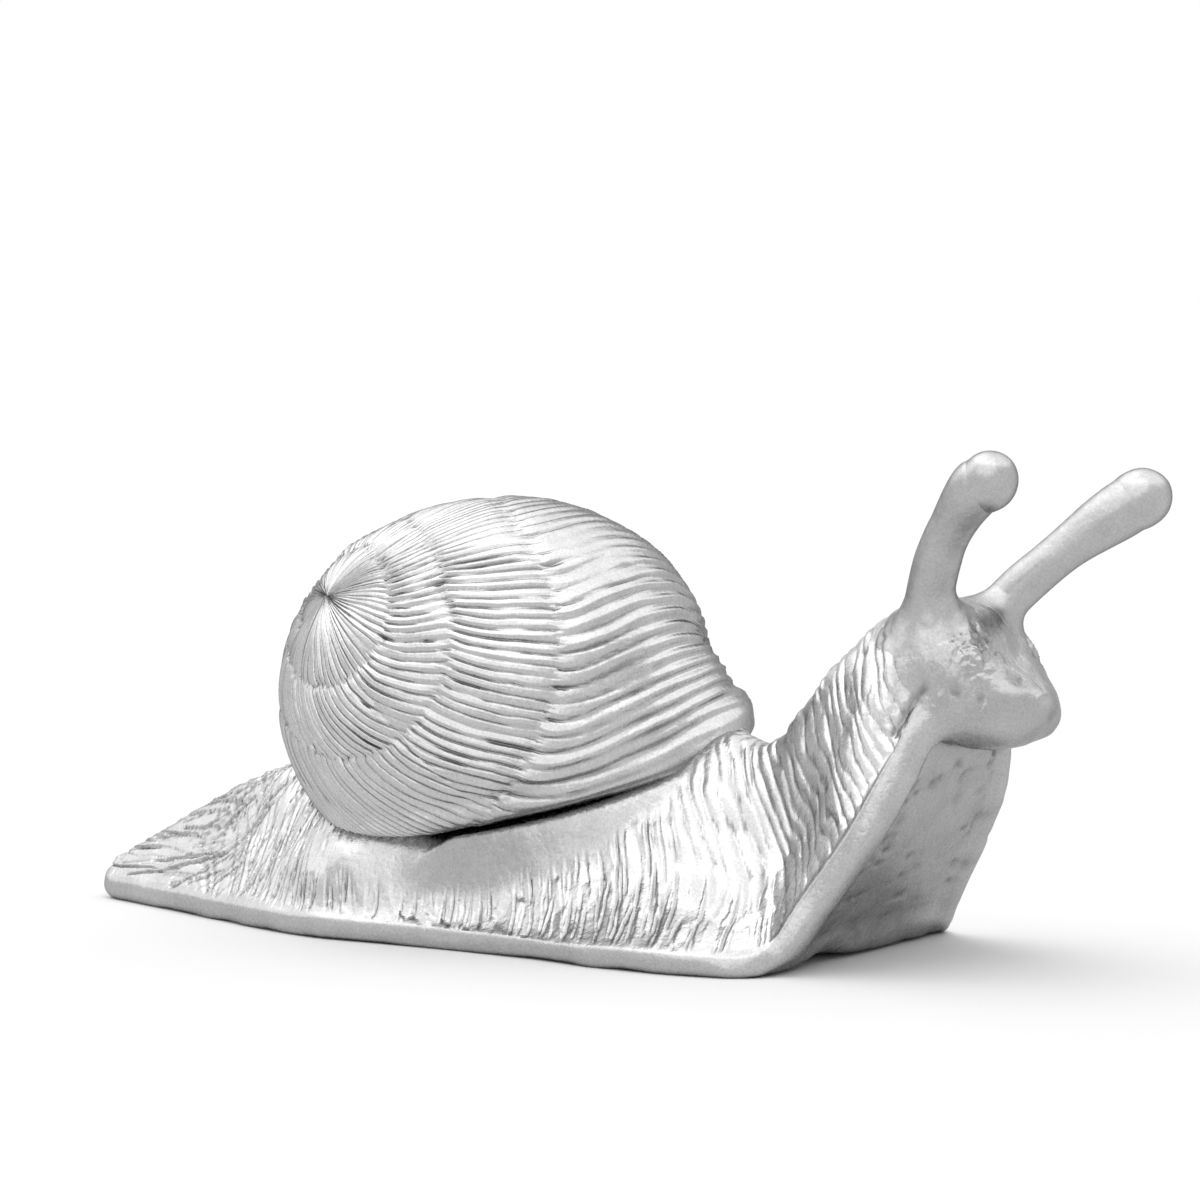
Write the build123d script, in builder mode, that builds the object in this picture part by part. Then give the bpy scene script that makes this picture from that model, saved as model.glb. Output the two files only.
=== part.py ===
"""Snail figurine: a cast foot and head, a spiral shell, wired eye stalks, eyes and felt pads.

Frame: +X towards the head, +Y towards the snail's left, +Z up. The origin lies on the surface that
the figurine stands on, under the middle of the sole's length.
"""

import os
from collections import namedtuple
from math import cos, pi, radians, sin, tan

from build123d import *

# Foot: the flat sole, its rolled rim and the raised slanted front, in millimetres and degrees
foot_length = 148.0
foot_width = 73.2
rim_thickness = 4.4
tail_height = 5.0
back_height = 25.6
front_slant = 57.4
front_rise = 34.0
front_bulge = 2.8
front_fullness = 1.7
front_rim_thickness = 6.2
front_dish = 1.3
crease_share = 0.88
chin_width = 30.0

# Neck and head: the neck line leaves the shell and climbs to the nape, the head reaches past the chin
neck_start_x = 56.0
neck_start_height = 32.0
nape_x = 85.5
nape_height = 57.0
crown_height = 58.4
snout_reach = 12.6
snout_lift = 8.0
jaw_radius = 6.5

# Shell: an egg-shaped dome on a ridged bed, with the seam between its whorls cut as a spiral
shell_centre_x = 7.3
shell_centre_height = 38.5
shell_length = 78.8
shell_width = 64.6
shell_height = 68.2
apex_bearing = -126.5
apex_climb = 31.0
seam_spread = 79.0
seam_growth = 1.77
seam_bearing = 140.0
seam_bulge = 0.2
seam_bulge_bearing = 150.0
seam_bulge_full = 45.0
seam_bulge_end = 113.0
seam_half_turns = 5
seam_radius = 1.5
seam_depth = 0.8
sections_per_half_turn = 8
bed_height = 28.3
bed_ridge_y = 17.0
bed_pitch = 10.4
bed_near_roll = 18.4
bed_far_roll = 50.0
seat_inset = 2.0
undercut_reach = 2.0
undercut_drop = 1.8
undercut_start_x = 2.0

# Front lip of the shell: a low egg that stands out of the dome in front
lip_centre_x = 13.0
lip_centre_y = 5.0
lip_centre_height = 33.0
lip_length = 73.0
lip_width = 57.0
lip_height = 44.0

# Eye stalks: root on the head, centre of the eye and the bow between them, for each side
right_root_x = 90.6
right_root_y = -7.0
right_root_height = 53.5
right_eye_x = 105.0
right_eye_y = -15.0
right_eye_height = 77.2
right_bow_x = -2.0
right_bow_height = 1.0
left_root_x = 92.5
left_root_y = 8.0
left_root_height = 53.0
left_eye_x = 114.0
left_eye_y = 22.4
left_eye_height = 73.2
left_bow_x = 0.0
left_bow_height = 1.6
stalk_root_radius = 4.8
stalk_waist_radius = 3.4
stalk_tip_radius = 4.2
tenon_radius = 2.6
tenon_length = 5.0
spot_face_height = 9.0
eye_radius = 4.7
eye_length = 11.2
eye_seat = 3.0
wire_radius = 0.8
wire_length = 24.0
wire_in_stalk = 12.0

# Dowels, felt pads and fits
dowel_radius = 2.0
dowel_length = 16.0
dowel_spacing = 30.0
dowel_middle_x = 8.0
dowel_y = 4.0
pad_radius = 6.0
pad_thickness = 1.2
pad_recess = 0.8
rear_pad_x = -28.0
rear_pad_spacing = 22.0
front_pad_x = 54.0
front_pad_spacing = 42.0
glue_gap = 0.15
pin_clearance = 0.08

pad_proud = pad_thickness - pad_recess
half_foot = foot_length / 2
half_width = foot_width / 2
rim_radius = rim_thickness / 2
front_rim_radius = front_rim_thickness / 2
up = Vector(0, 0, 1)
leftward = Vector(0, 1, 0)

# A foot section: the rim line it stands on, the back line it reaches, the shoulder between them, the radius
# of its lower edge, and whether it is a round head section or an open foot section
Station = namedtuple(
    "Station", "rim_x rim_y rim_z back_x back_z shoulder_out shoulder_up edge_radius is_head"
)


def level_station(along, spread, lean, height, shoulder_out, shoulder_up):
    """A section over the flat sole: along runs from tail to crease, spread is a share of the width."""
    rim_x = -half_foot + along * foot_length
    return Station(
        rim_x,
        spread * half_width,
        pad_proud,
        rim_x - lean,
        pad_proud + height,
        shoulder_out,
        shoulder_up,
        rim_radius,
        False,
    )


def raised_station(climb, shoulder_out, shoulder_up):
    """A section up the slanted front: climb runs from the crease to the chin."""
    rise = climb * front_rise
    crease_width = crease_share * foot_width
    fullness = front_fullness * 6.75 * climb**2 * (1 - climb)
    return Station(
        half_foot + rise / tan(radians(front_slant)) + front_bulge * abs(sin(pi * climb)) ** 0.6,
        (crease_width + climb * (chin_width - crease_width)) / 2 + fullness,
        pad_proud + rise,
        neck_start_x + climb * (nape_x - neck_start_x),
        neck_start_height + climb * (nape_height - neck_start_height),
        shoulder_out,
        shoulder_up,
        rim_radius + min(1.0, 4 * climb) * (front_rim_radius - rim_radius),
        False,
    )


def head_station(forward, spread, chin_lift, crown_drop):
    """A section through the head: forward runs from the nape to the tip of the snout."""
    chin_x = half_foot + front_rise / tan(radians(front_slant))
    low_z = pad_proud + front_rise
    return Station(
        chin_x + forward * snout_reach,
        spread * chin_width / 2,
        low_z + chin_lift * snout_lift,
        nape_x + forward * (chin_x + snout_reach - nape_x),
        crown_height - crown_drop * (crown_height - low_z - snout_lift),
        0.82,
        0.76,
        jaw_radius,
        True,
    )


crease_station = raised_station(0.0, 0.46, 0.43)
chin_station = raised_station(1.0, 0.90, 0.58)

sole_stations = [
    level_station(0.000, 0.05, 0.0, 0.8 * tail_height, 0.50, 0.85),
    level_station(0.030, 0.17, 0.0, tail_height + 2.8, 0.50, 0.76),
    level_station(0.135, 0.35, 0.0, tail_height + 11.4, 0.50, 0.58),
    level_station(0.223, 0.50, 1.0, tail_height + 17.4, 0.52, 0.54),
    level_station(0.304, 0.645, 2.0, back_height, 0.60, 0.54),
    level_station(0.449, 0.82, 5.0, back_height, 0.76, 0.60),
    level_station(0.580, 0.83, 8.8, back_height, 0.78, 0.64),
    level_station(0.716, 0.89, 13.0, back_height + 1.0, 0.72, 0.64),
    level_station(0.811, 0.97, 15.0, back_height + 3.0, 0.62, 0.58),
    level_station(0.905, 1.00, 17.0, back_height + 4.4, 0.52, 0.50),
    crease_station,
]

front_stations = [
    crease_station,
    raised_station(0.25, 0.55, 0.47),
    raised_station(0.50, 0.66, 0.52),
    raised_station(0.75, 0.80, 0.56),
    chin_station,
]

head_stations = [
    chin_station,
    head_station(0.24, 0.97, 0.03, 0.00),
    head_station(0.48, 0.90, 0.06, 0.09),
    head_station(0.68, 0.80, 0.13, 0.34),
    head_station(0.83, 0.66, 0.28, 0.61),
    head_station(0.95, 0.42, 0.55, 0.85),
]

# The shallow dish in the raised front: its place up the climb and its share of the full depth
dish_steps = ((0.10, 0.3), (0.35, 1.0), (0.65, 1.0), (0.92, 0.3))


def section_plane(station):
    """The leaning plane of a station, and its height from the rim line to the back line."""
    rim_middle = Vector(station.rim_x, 0, station.rim_z)
    rise = Vector(station.back_x, 0, station.back_z) - rim_middle
    return Plane(origin=rim_middle, x_dir=leftward, z_dir=leftward.cross(rise)), rise.length


def foot_section(station):
    """Draw one closed section of the foot on the leaning plane of its station."""
    plane, height = section_plane(station)
    width = station.rim_y
    edge = min(station.edge_radius, 0.3 * height, 0.6 * width)
    corner = edge * (1 - cos(pi / 4))
    with BuildSketch(plane) as section:
        with BuildLine():
            Line((edge - width, 0), (width - edge, 0))
            for side in (1, -1):
                sole_edge = (side * (width - edge), 0)
                shoulder = (side * width * station.shoulder_out, height * station.shoulder_up)
                if station.is_head:
                    arc_middle = (side * (width - corner), corner)
                    arc_end = (side * width, edge)
                    leaving = (0, 1)
                else:
                    arc_middle = (side * width, edge)
                    arc_end = (side * (width - edge), 2 * edge)
                    leaving = (-side, 0.25)
                ThreePointArc(sole_edge, arc_middle, arc_end)
                Spline(arc_end, shoulder, (0, height), tangents=(leaving, (-side, 0)))
        make_face()
    return section.sketch


def dish_section(climb, depth_share):
    """Draw one section of the shallow dish between the rolled edges of the raised front."""
    station = raised_station(climb, 0.5, 0.5)
    plane, height = section_plane(station)
    reach = station.rim_y - front_rim_thickness
    with BuildSketch(plane) as section:
        with BuildLine():
            ThreePointArc((-reach, 0), (0, depth_share * front_dish), (reach, 0))
            Polyline((reach, 0), (reach, -front_dish), (-reach, -front_dish), (-reach, 0))
        make_face()
    return section.sketch


def rod(start, along, length, radius):
    """A round rod from start, along a direction."""
    with BuildPart() as bar:
        with BuildSketch(Plane(origin=start, z_dir=along)):
            Circle(radius)
        extrude(amount=length)
    return bar.part


# Shell frame: directions on the unit ball that is stretched into the dome
shell_centre = Vector(shell_centre_x, 0, shell_centre_height)
apex_way = Vector(1, 0, 0).rotate(Axis.Y, -apex_climb).rotate(Axis.Z, apex_bearing)
side_way = apex_way.cross(up).normalized()
fore_way = apex_way.cross(side_way)
pitched_x = Vector(1, 0, 0).rotate(Axis.Y, -bed_pitch)
bed_up = up.rotate(Axis.Y, -bed_pitch)
bed_middle = Vector(0, bed_ridge_y, bed_height)
bed_plane = Plane(origin=bed_middle, x_dir=leftward, z_dir=pitched_x)


def dome(extra):
    """The whole egg form of the shell, grown by extra."""
    with BuildPart() as ball:
        Sphere(0.5)
        scale(by=(shell_length + 2 * extra, shell_width + 2 * extra, shell_height + 2 * extra))
    with BuildPart() as placed:
        with Locations(shell_centre):
            add(ball.part)
    return placed.part


def front_lip(extra):
    """The low egg that flares the lip in front, grown by extra."""
    with BuildPart() as ball:
        Sphere(0.5)
        scale(by=(lip_length + 2 * extra, lip_width + 2 * extra, lip_height + 2 * extra))
    with BuildPart() as placed:
        with Locations(Vector(lip_centre_x, lip_centre_y, lip_centre_height)):
            add(ball.part)
    return placed.part


def bed(lowered):
    """Everything under the ridged bed that the shell sits on, lowered by a glue gap."""
    reach = shell_width
    near_fall = reach * tan(radians(bed_near_roll))
    far_fall = reach * tan(radians(bed_far_roll))
    with BuildPart() as block:
        with BuildSketch(bed_plane):
            with BuildLine():
                Polyline(
                    (0, -lowered),
                    (reach, -far_fall - lowered),
                    (reach, -2 * reach),
                    (-reach, -2 * reach),
                    (-reach, -near_fall - lowered),
                    close=True,
                )
            make_face()
        extrude(amount=shell_length, both=True)
    return block.part


def seam_point(turns_back, lift):
    """A point of the spiral seam, counted in turns back from its wide end, lifted off the dome."""
    bearing = radians(seam_bearing) + 2 * pi * turns_back
    plain_spread = seam_spread * seam_growth**-turns_back
    fade = (seam_bulge_end - plain_spread) / (seam_bulge_end - seam_bulge_full)
    lobe = cos(2 * (bearing - radians(seam_bulge_bearing)))
    spread = radians(plain_spread * (1 + seam_bulge * min(1.0, fade) * lobe))
    way = apex_way * cos(spread) + (side_way * cos(bearing) + fore_way * sin(bearing)) * sin(spread)
    on_dome = Vector(way.X * shell_length, way.Y * shell_width, way.Z * shell_height) / 2
    outward = Vector(way.X / shell_length, way.Y / shell_width, way.Z / shell_height).normalized()
    return shell_centre + on_dome + outward * lift, outward


def seam_section(turns_back):
    """One round section of the cutter that leaves the spiral seam."""
    step = 0.01
    centre, outward = seam_point(turns_back, seam_radius - seam_depth)
    ahead = seam_point(turns_back - step, 0.0)[0] - seam_point(turns_back + step, 0.0)[0]
    with BuildSketch(Plane(origin=centre, x_dir=outward, z_dir=ahead)) as section:
        Circle(seam_radius)
    return section.sketch


def half_turn_cutter(half_turn):
    """Half a turn of the seam cutter."""
    steps = range(sections_per_half_turn + 1)
    with BuildPart() as cutter:
        loft([seam_section((half_turn + step / sections_per_half_turn) / 2) for step in steps])
    return cutter.part


shell_form = dome(0.0)
shell_pocket = dome(glue_gap)
shell_bed = bed(0.0)
pocket_bed = bed(glue_gap)
seam_cutters = [half_turn_cutter(half_turn) for half_turn in range(seam_half_turns)]

# Two dowels stand on the near slope of the bed, half in the foot and half in the shell
dowel_drop = (bed_ridge_y - dowel_y) * tan(radians(bed_near_roll))
dowel_line = Vector(0, dowel_y, bed_height) - bed_up * dowel_drop
dowel_middles = [
    dowel_line + pitched_x * (dowel_middle_x + side * dowel_spacing / 2) for side in (-1, 1)
]
dowel_bores = [
    rod(
        middle - bed_up * (dowel_length / 2 + pin_clearance),
        bed_up,
        dowel_length + 2 * pin_clearance,
        dowel_radius + pin_clearance,
    )
    for middle in dowel_middles
]

with BuildPart() as shell_dowels:
    for middle in dowel_middles:
        add(rod(middle - bed_up * dowel_length / 2, bed_up, dowel_length, dowel_radius))

# Felt pads let into the sole, one of them at the origin
pad_rows = ((rear_pad_x, rear_pad_spacing), (front_pad_x, front_pad_spacing))
pad_places = [Vector(pad_x, side * spacing / 2, 0) for pad_x, spacing in pad_rows for side in (-1, 1)]
pad_places.append(Vector(0, 0, 0))

with BuildPart() as sole_pads:
    for place in pad_places:
        add(rod(place, up, pad_thickness, pad_radius))

# Spiral shell with its front lip, hollowed underneath to the ridge of its bed
with BuildPart() as shell:
    add(shell_form)
    add(front_lip(0.0))
    add(shell_bed, mode=Mode.SUBTRACT)
    for seam_cutter in seam_cutters:
        add(seam_cutter, mode=Mode.SUBTRACT)
    for bore in dowel_bores:
        add(bore, mode=Mode.SUBTRACT)


class StalkLine:
    """The bowed middle line of an eye stalk, from its root on the head to the back of its eye."""

    def __init__(self, root, eye_centre, bow):
        self.root = root
        self.bow = bow
        self.eye_centre = eye_centre
        self.eye_way = (eye_centre - root - bow * 4).normalized()
        self.tip = eye_centre - self.eye_way * eye_seat
        self.root_way = self.way(0.0)

    def point(self, share):
        return self.root + (self.tip - self.root) * share + self.bow * (4 * share * (1 - share))

    def way(self, share):
        return (self.tip - self.root + self.bow * (4 - 8 * share)).normalized()


def eye_form(line, extra):
    """The egg of an eye about its own line, grown by extra."""
    half_length = eye_length / 2 + extra
    profile_plane = Plane(origin=line.eye_centre, x_dir=line.eye_way, z_dir=line.eye_way.cross(up))
    with BuildPart() as egg:
        with BuildSketch(profile_plane):
            with BuildLine():
                EllipticalCenterArc((0, 0), half_length, eye_radius + extra, start_angle=0, arc_size=180)
                Line((-half_length, 0), (half_length, 0))
            make_face()
        revolve(axis=Axis(line.eye_centre, line.eye_way))
    return egg.part


def stalk_form(line):
    """A tapered bowed stalk with a tenon below, a wire bore and a cup for its eye."""
    girths = (
        (0.0, stalk_root_radius),
        (0.35, stalk_waist_radius),
        (0.7, stalk_waist_radius),
        (1.0, stalk_tip_radius),
    )
    sections = []
    for share, radius in girths:
        with BuildSketch(Plane(origin=line.point(share), x_dir=leftward, z_dir=line.way(share))) as section:
            Circle(radius)
        sections.append(section.sketch)
    bore_start = line.root - line.root_way * tenon_length
    bore_length = tenon_length + wire_in_stalk + pin_clearance
    with BuildPart() as stalk:
        loft(sections)
        add(rod(line.root, line.root_way * -1, tenon_length, tenon_radius))
        add(rod(bore_start, line.root_way, bore_length, wire_radius + pin_clearance), mode=Mode.SUBTRACT)
        add(eye_form(line, glue_gap), mode=Mode.SUBTRACT)
    return stalk.part


def wire_form(line):
    """The straight wire that runs from the head into the stalk."""
    start = line.root - line.root_way * (wire_length - wire_in_stalk)
    return rod(start, line.root_way, wire_length, wire_radius)


def stalk_sockets(line):
    """What the head loses for one stalk: its spot face, tenon socket and wire bore."""
    down = line.root_way * -1
    return [
        rod(line.root + down * glue_gap, line.root_way, spot_face_height, stalk_root_radius + glue_gap),
        rod(line.root, down, tenon_length + glue_gap, tenon_radius + pin_clearance),
        rod(line.root, down, wire_length - wire_in_stalk + pin_clearance, wire_radius + pin_clearance),
    ]


right_line = StalkLine(
    Vector(right_root_x, right_root_y, right_root_height),
    Vector(right_eye_x, right_eye_y, right_eye_height),
    Vector(right_bow_x, 0, right_bow_height),
)
left_line = StalkLine(
    Vector(left_root_x, left_root_y, left_root_height),
    Vector(left_eye_x, left_eye_y, left_eye_height),
    Vector(left_bow_x, 0, left_bow_height),
)

with BuildPart() as right_eye_stalk:
    add(stalk_form(right_line))

with BuildPart() as left_eye_stalk:
    add(stalk_form(left_line))

with BuildPart() as right_eye:
    add(eye_form(right_line, 0.0))

with BuildPart() as left_eye:
    add(eye_form(left_line, 0.0))

with BuildPart() as right_stalk_wire:
    add(wire_form(right_line))

with BuildPart() as left_stalk_wire:
    add(wire_form(left_line))

# Foot, neck and head in one casting, with a dished front, an undercut under the lip, and a seat and pocket
# for the shell
with BuildPart() as pocket:
    add(shell_pocket)
    add(front_lip(glue_gap))
    add(pocket_bed, mode=Mode.SUBTRACT)

with BuildPart() as undercut:
    add(dome(undercut_reach))
    add(bed(undercut_drop), mode=Mode.SUBTRACT)
    with Locations(Vector(undercut_start_x + shell_length / 2, 0, shell_centre_height)):
        Box(shell_length, 2 * shell_width, 2 * shell_height, mode=Mode.INTERSECT)

with BuildPart() as front_hollow:
    loft([dish_section(climb, depth_share) for climb, depth_share in dish_steps])

with BuildPart() as foot_body:
    loft([foot_section(station) for station in sole_stations])
    loft([foot_section(station) for station in front_stations])
    loft([foot_section(station) for station in head_stations])
    add(front_hollow.part, mode=Mode.SUBTRACT)
    add(undercut.part, mode=Mode.SUBTRACT)
    add(dome(-seat_inset))
    add(pocket.part, mode=Mode.SUBTRACT)
    for bore in dowel_bores:
        add(bore, mode=Mode.SUBTRACT)
    for socket in stalk_sockets(right_line) + stalk_sockets(left_line):
        add(socket, mode=Mode.SUBTRACT)
    for place in pad_places:
        add(rod(place, up, pad_thickness, pad_radius + glue_gap), mode=Mode.SUBTRACT)

pieces = {
    "foot_body": foot_body,
    "shell": shell,
    "shell_dowels": shell_dowels,
    "right_eye_stalk": right_eye_stalk,
    "left_eye_stalk": left_eye_stalk,
    "right_eye": right_eye,
    "left_eye": left_eye,
    "right_stalk_wire": right_stalk_wire,
    "left_stalk_wire": left_stalk_wire,
    "sole_pads": sole_pads,
}

os.makedirs("parts", exist_ok=True)
for label, piece in pieces.items():
    piece.part.label = label
    export_step(piece.part, f"parts/{label}.step")
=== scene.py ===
"""Looks of the snail figurine: a satin silver casting with a ribbed shell and a carved foot.

All sizes are in millimetres in the part's frame until a mesh is made, which is in metres.
"""

import math

import bpy
import numpy as np
from mathutils import Matrix, Vector
from mathutils.kdtree import KDTree


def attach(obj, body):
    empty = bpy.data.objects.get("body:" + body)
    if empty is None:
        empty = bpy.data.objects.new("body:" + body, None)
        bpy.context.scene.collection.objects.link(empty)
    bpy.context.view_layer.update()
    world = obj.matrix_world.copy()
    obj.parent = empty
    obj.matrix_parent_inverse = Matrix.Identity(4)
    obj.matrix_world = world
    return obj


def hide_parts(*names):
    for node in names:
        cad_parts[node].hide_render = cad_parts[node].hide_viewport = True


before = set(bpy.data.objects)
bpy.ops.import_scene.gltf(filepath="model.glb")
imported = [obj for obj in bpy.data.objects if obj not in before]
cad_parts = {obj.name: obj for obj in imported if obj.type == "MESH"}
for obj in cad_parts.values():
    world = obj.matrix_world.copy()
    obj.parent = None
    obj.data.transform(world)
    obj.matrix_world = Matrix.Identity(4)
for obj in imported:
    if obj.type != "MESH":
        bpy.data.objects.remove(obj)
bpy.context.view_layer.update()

METRE = 0.001
TURN = 2.0 * math.pi
MIRROR = np.array([1.0, -1.0, 1.0])
SIDEWAYS = np.array([0.0, 1.0, 0.0])

# Shell: an egg-shaped dome, the way that its apex points and the spiral seam around the apex
SHELL_CENTRE = np.array([7.3, 0.0, 38.5])
SHELL_SEMI = np.array([39.4, 32.3, 34.1])
APEX_BEARING = math.radians(-126.5)
APEX_CLIMB = math.radians(31.0)
SEAM_SPREAD = 79.0
SEAM_GROWTH = 1.77
SEAM_BEARING = math.radians(140.0)
SEAM_CAP_TURN = 1.75
BODY_FROM_TURN = -1.2
WHORL_BULGE_BEARING = math.radians(150.0)
WHORL_RADIUS = 34.5
# How oval and how narrow the seam runs, by degrees from the apex
WHORL_BULGE = ([50.0, 75.0, 115.0], [0.20, 0.10, 0.0])
WHORL_SHRINK = ([0.0, 50.0, 75.0, 110.0], [1.0, 0.987, 0.957, 1.0])
SEAM_RAGGED = 1.5
SEAM_WIDTH = 1.5
SEAM_DEPTH = 0.45
SEAM_LINE_WIDTH = 0.45
SEAM_LINE_DEPTH = 0.3
SHELL_LUMPS = 0.18
SHELL_COLUMNS = 1680
SHELL_ROWS = 108
SHELL_TOP_SHARE = 0.004
STREAM_STEPS = 10
STREAM_REACH = 6
# The top of the shell is a little flatter, with calmer ribs
TOP_CALM = 0.55
TOP_CALM_HEIGHT = (61.0, 69.0)
TOP_FLAT_HEIGHT = (58.0, 68.0)
TOP_FLAT = 0.8
TOP_FLAT_LENGTH = 12.0

# Ribs in a whole turn at places along the spiral, counted from the lip: wide at both ends and fine between
RIB_TURNS = [-1.6, -1.0, -0.62, -0.42, -0.15, -0.03, 0.17, 0.4, 0.6, 0.85, 0.97, 1.17, 1.5, 3.0]
RIB_RATES = [76.0, 76.0, 80.0, 112.0, 124.0, 112.0, 106.0, 112.0, 116.0, 112.0, 84.0, 80.0, 76.0, 70.0]
# Part of a turn that the ribs sweep round on their way to the outer seam, by turn, and how late they do it
RIB_SWEEP = (
    [-1.15, -1.0, -0.9, -0.7, -0.45, -0.12, 0.1, 1.0, 2.0],
    [0.180, 0.172, 0.160, 0.140, 0.100, 0.060, 0.022, 0.040, 0.0],
)
RIB_SWEEP_POWER = ([-0.6, -0.2], [1.5, 1.6])
RIB_HEIGHT = 0.85
RIB_HEIGHT_SHARE = ([-0.9, 0.6, 1.6, 2.2], [1.0, 0.85, 0.6, 0.3])
# The body whorl ends at these turns, and its ribs fade after these turns towards its outer edge
BODY_END_TURN = (-0.15, 0.05)
FADE_TURN = (-1.02, -0.92)
FADE_SHARE = (0.45, 0.74)
RIB_WANDER = 0.34
RIB_SHAKE = 0.09
RIDGE_RISE = 0.42
RIDGE_FALL = 0.58
LAND_STEP = 0.3
LAND_TILT = 0.9
LAND_RIDGE = 0.6
LINE_WIDTH = 0.08
LINE_DEPTH = 0.3
GOUGE_WIDTH = 0.17
GOUGE_DEPTH = 0.5
GOUGE_SHARE = ([-0.95, -0.7, -0.5, -0.1, 0.0], [1.0, 1.0, 0.45, 0.45, 1.0])

# The ridged plane under the lip: height and climb along X at the ridge, and the fall on both sides of it
LIP_HEIGHT = 28.3
LIP_CLIMB = 0.184
LIP_NEAR_FALL = 0.333
LIP_FAR_FALL = 1.19
LIP_RIDGE_Y = 17.0
LIP_TURN_IN = 1.7
LIP_TURN_WIDTH = 3.0
LIP_ROLL = 1.8
LIP_ROLL_ANGLES = [20.0, 40.0, 60.0, 80.0, 100.0, 125.0]
LIP_INNER_AIM = np.array([0.0, 0.0, -10.0])
LIP_INNER_REACH = (4.0, 9.0, 15.0)
# Angles from the apex at which the lip is looked for: from, to and how many
LIP_SEARCH = (30.0, 178.0, 1481)
# Plain band along the lip: its bearings around the apex, how far up it reaches, its bead and the dip above
BAND_BEARINGS = (116.0, 140.0, 320.0, 350.0)
BAND_EDGE = (2.6, 5.6)
BEAD_PLACE, BEAD_WIDTH, BEAD_HEIGHT = 3.2, 2.0, 0.5
DIP_PLACE, DIP_WIDTH, DIP_DEPTH = 7.0, 1.8, 0.4
# The front, between these bearings, turns in less at the lip and stands out by distance from the lip
FRONT_BEARINGS = (140.0, 195.0, 270.0, 340.0)
FRONT_STRAIGHT = 0.85
FLARE_SLOPE = 0.42
FLARE_FROM_LIP = np.array([0.0, 4.0, 8.0, 12.0, 16.0, 20.0, 26.0, 36.0])
FLARE_LIFT = np.array([4.8, 3.1, 0.9, -0.4, -1.3, -1.7, -1.0, 0.0])

# Foot: height of the sole over the floor, and points of the grid along it and in half a section
SOLE_Z = 0.02
FOOT_RINGS = 960
SOLE_POINTS = 14
RIM_POINTS = 14
FLANK_POINTS = 60
FLANK_START = SOLE_POINTS + RIM_POINTS

# Eye stalks: root, middle of the eye, bow of the middle line, radius at the tip and what the root has more,
# the eye's radius, the share of it that the end has, where the end swells, how far beside the eye it ends,
# and the fillet at the root
STALK_SHORT = 1.0
STALK_END_ROWS = 14
STALK_POINTS = 72
EYE_ROWS = 60
EYE_POINTS = 96
EYE_STRETCH = 1.14
STALKS = {
    "right": {
        "root": np.array([90.6, -7.0, 53.5]),
        "eye": np.array([105.0, -15.0, 77.2]),
        "bow": np.array([-2.0, 0.0, 1.0]),
        "girth": 3.4,
        "taper": 0.5,
        "ball": 4.6,
        "holds": 0.94,
        "swell": (0.66, 1.0),
        "beside": np.array([0.8, 0.45, 0.0]),
        "fillet": 4.2,
    },
    "left": {
        "root": np.array([92.5, 8.0, 53.0]),
        "eye": np.array([113.5, 22.2, 73.3]),
        "bow": np.array([0.0, 0.0, 1.4]),
        "girth": 3.3,
        "taper": 0.3,
        "ball": 4.85,
        "holds": 0.95,
        "swell": (0.5, 0.95),
        "beside": np.array([0.0, 0.0, 0.0]),
        "fillet": 3.5,
    },
}


def smooth(low, high, value):
    """A soft step from 0 at low to 1 at high."""
    share = np.clip((value - low) / (high - low), 0.0, 1.0)
    return share * share * (3.0 - 2.0 * share)


def fade(low, high, value):
    """A soft step from 1 at low to 0 at high."""
    return 1.0 - smooth(low, high, value)


def bell(value, width):
    """A soft bump: 1 where the value is nothing, fading to nothing over about two widths."""
    return np.exp(-((value / width) ** 2))


def between(bearings, ends):
    """1 between two bearings and 0 elsewhere; the four ends say where it rises and falls, in degrees."""
    rise_from, rise_to, fall_from, fall_to = [math.radians(end) for end in ends]
    return smooth(rise_from, rise_to, bearings) * fade(fall_from, fall_to, bearings)


def scatter(seed, *cells):
    """A repeatable number from 0 to 1 for whole-number cells."""
    mixed = np.full(np.broadcast(*cells).shape, seed * 7919 + 13, dtype=np.uint32)
    for cell in cells:
        mixed = mixed ^ np.asarray(cell).astype(np.int64).astype(np.uint32)
        mixed = mixed * np.uint32(2654435761)
        mixed = mixed ^ (mixed >> np.uint32(15))
        mixed = mixed * np.uint32(2246822519)
        mixed = mixed ^ (mixed >> np.uint32(13))
    return mixed / 4294967296.0


def ripple(seed, across, along):
    """Soft noise from -1 to 1 over two coordinates, one bump to a unit."""
    across, along = np.broadcast_arrays(across, along)
    cell_a = np.floor(across)
    cell_b = np.floor(along)
    part_a = smooth(0.0, 1.0, across - cell_a)
    part_b = smooth(0.0, 1.0, along - cell_b)

    def row_of_cells(cell):
        return scatter(seed, cell_a, cell) * (1 - part_a) + scatter(seed, cell_a + 1, cell) * part_a

    return 2.0 * (row_of_cells(cell_b) * (1 - part_b) + row_of_cells(cell_b + 1) * part_b) - 1.0


def added_up(steps):
    """The way from the start to each end of a row of steps."""
    return np.concatenate([[0.0], np.cumsum(steps)])


def round_angles(count):
    """Even angles once round."""
    return np.arange(count) * TURN / count


def unit(vectors):
    """The same vectors at length one."""
    length = np.linalg.norm(vectors, axis=-1, keepdims=True)
    return vectors / np.maximum(length, 1e-9)


def grid_normals(points):
    """Normals of a grid of points whose columns meet, rows by columns."""
    down = np.gradient(points, axis=0)
    over = np.roll(points, -1, axis=1) - np.roll(points, 1, axis=1)
    return unit(np.cross(over, down))


def place_object(name, data):
    """An object in the scene that shows this data."""
    placed = bpy.data.objects.new(name, data)
    bpy.context.scene.collection.objects.link(placed)
    return placed


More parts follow.
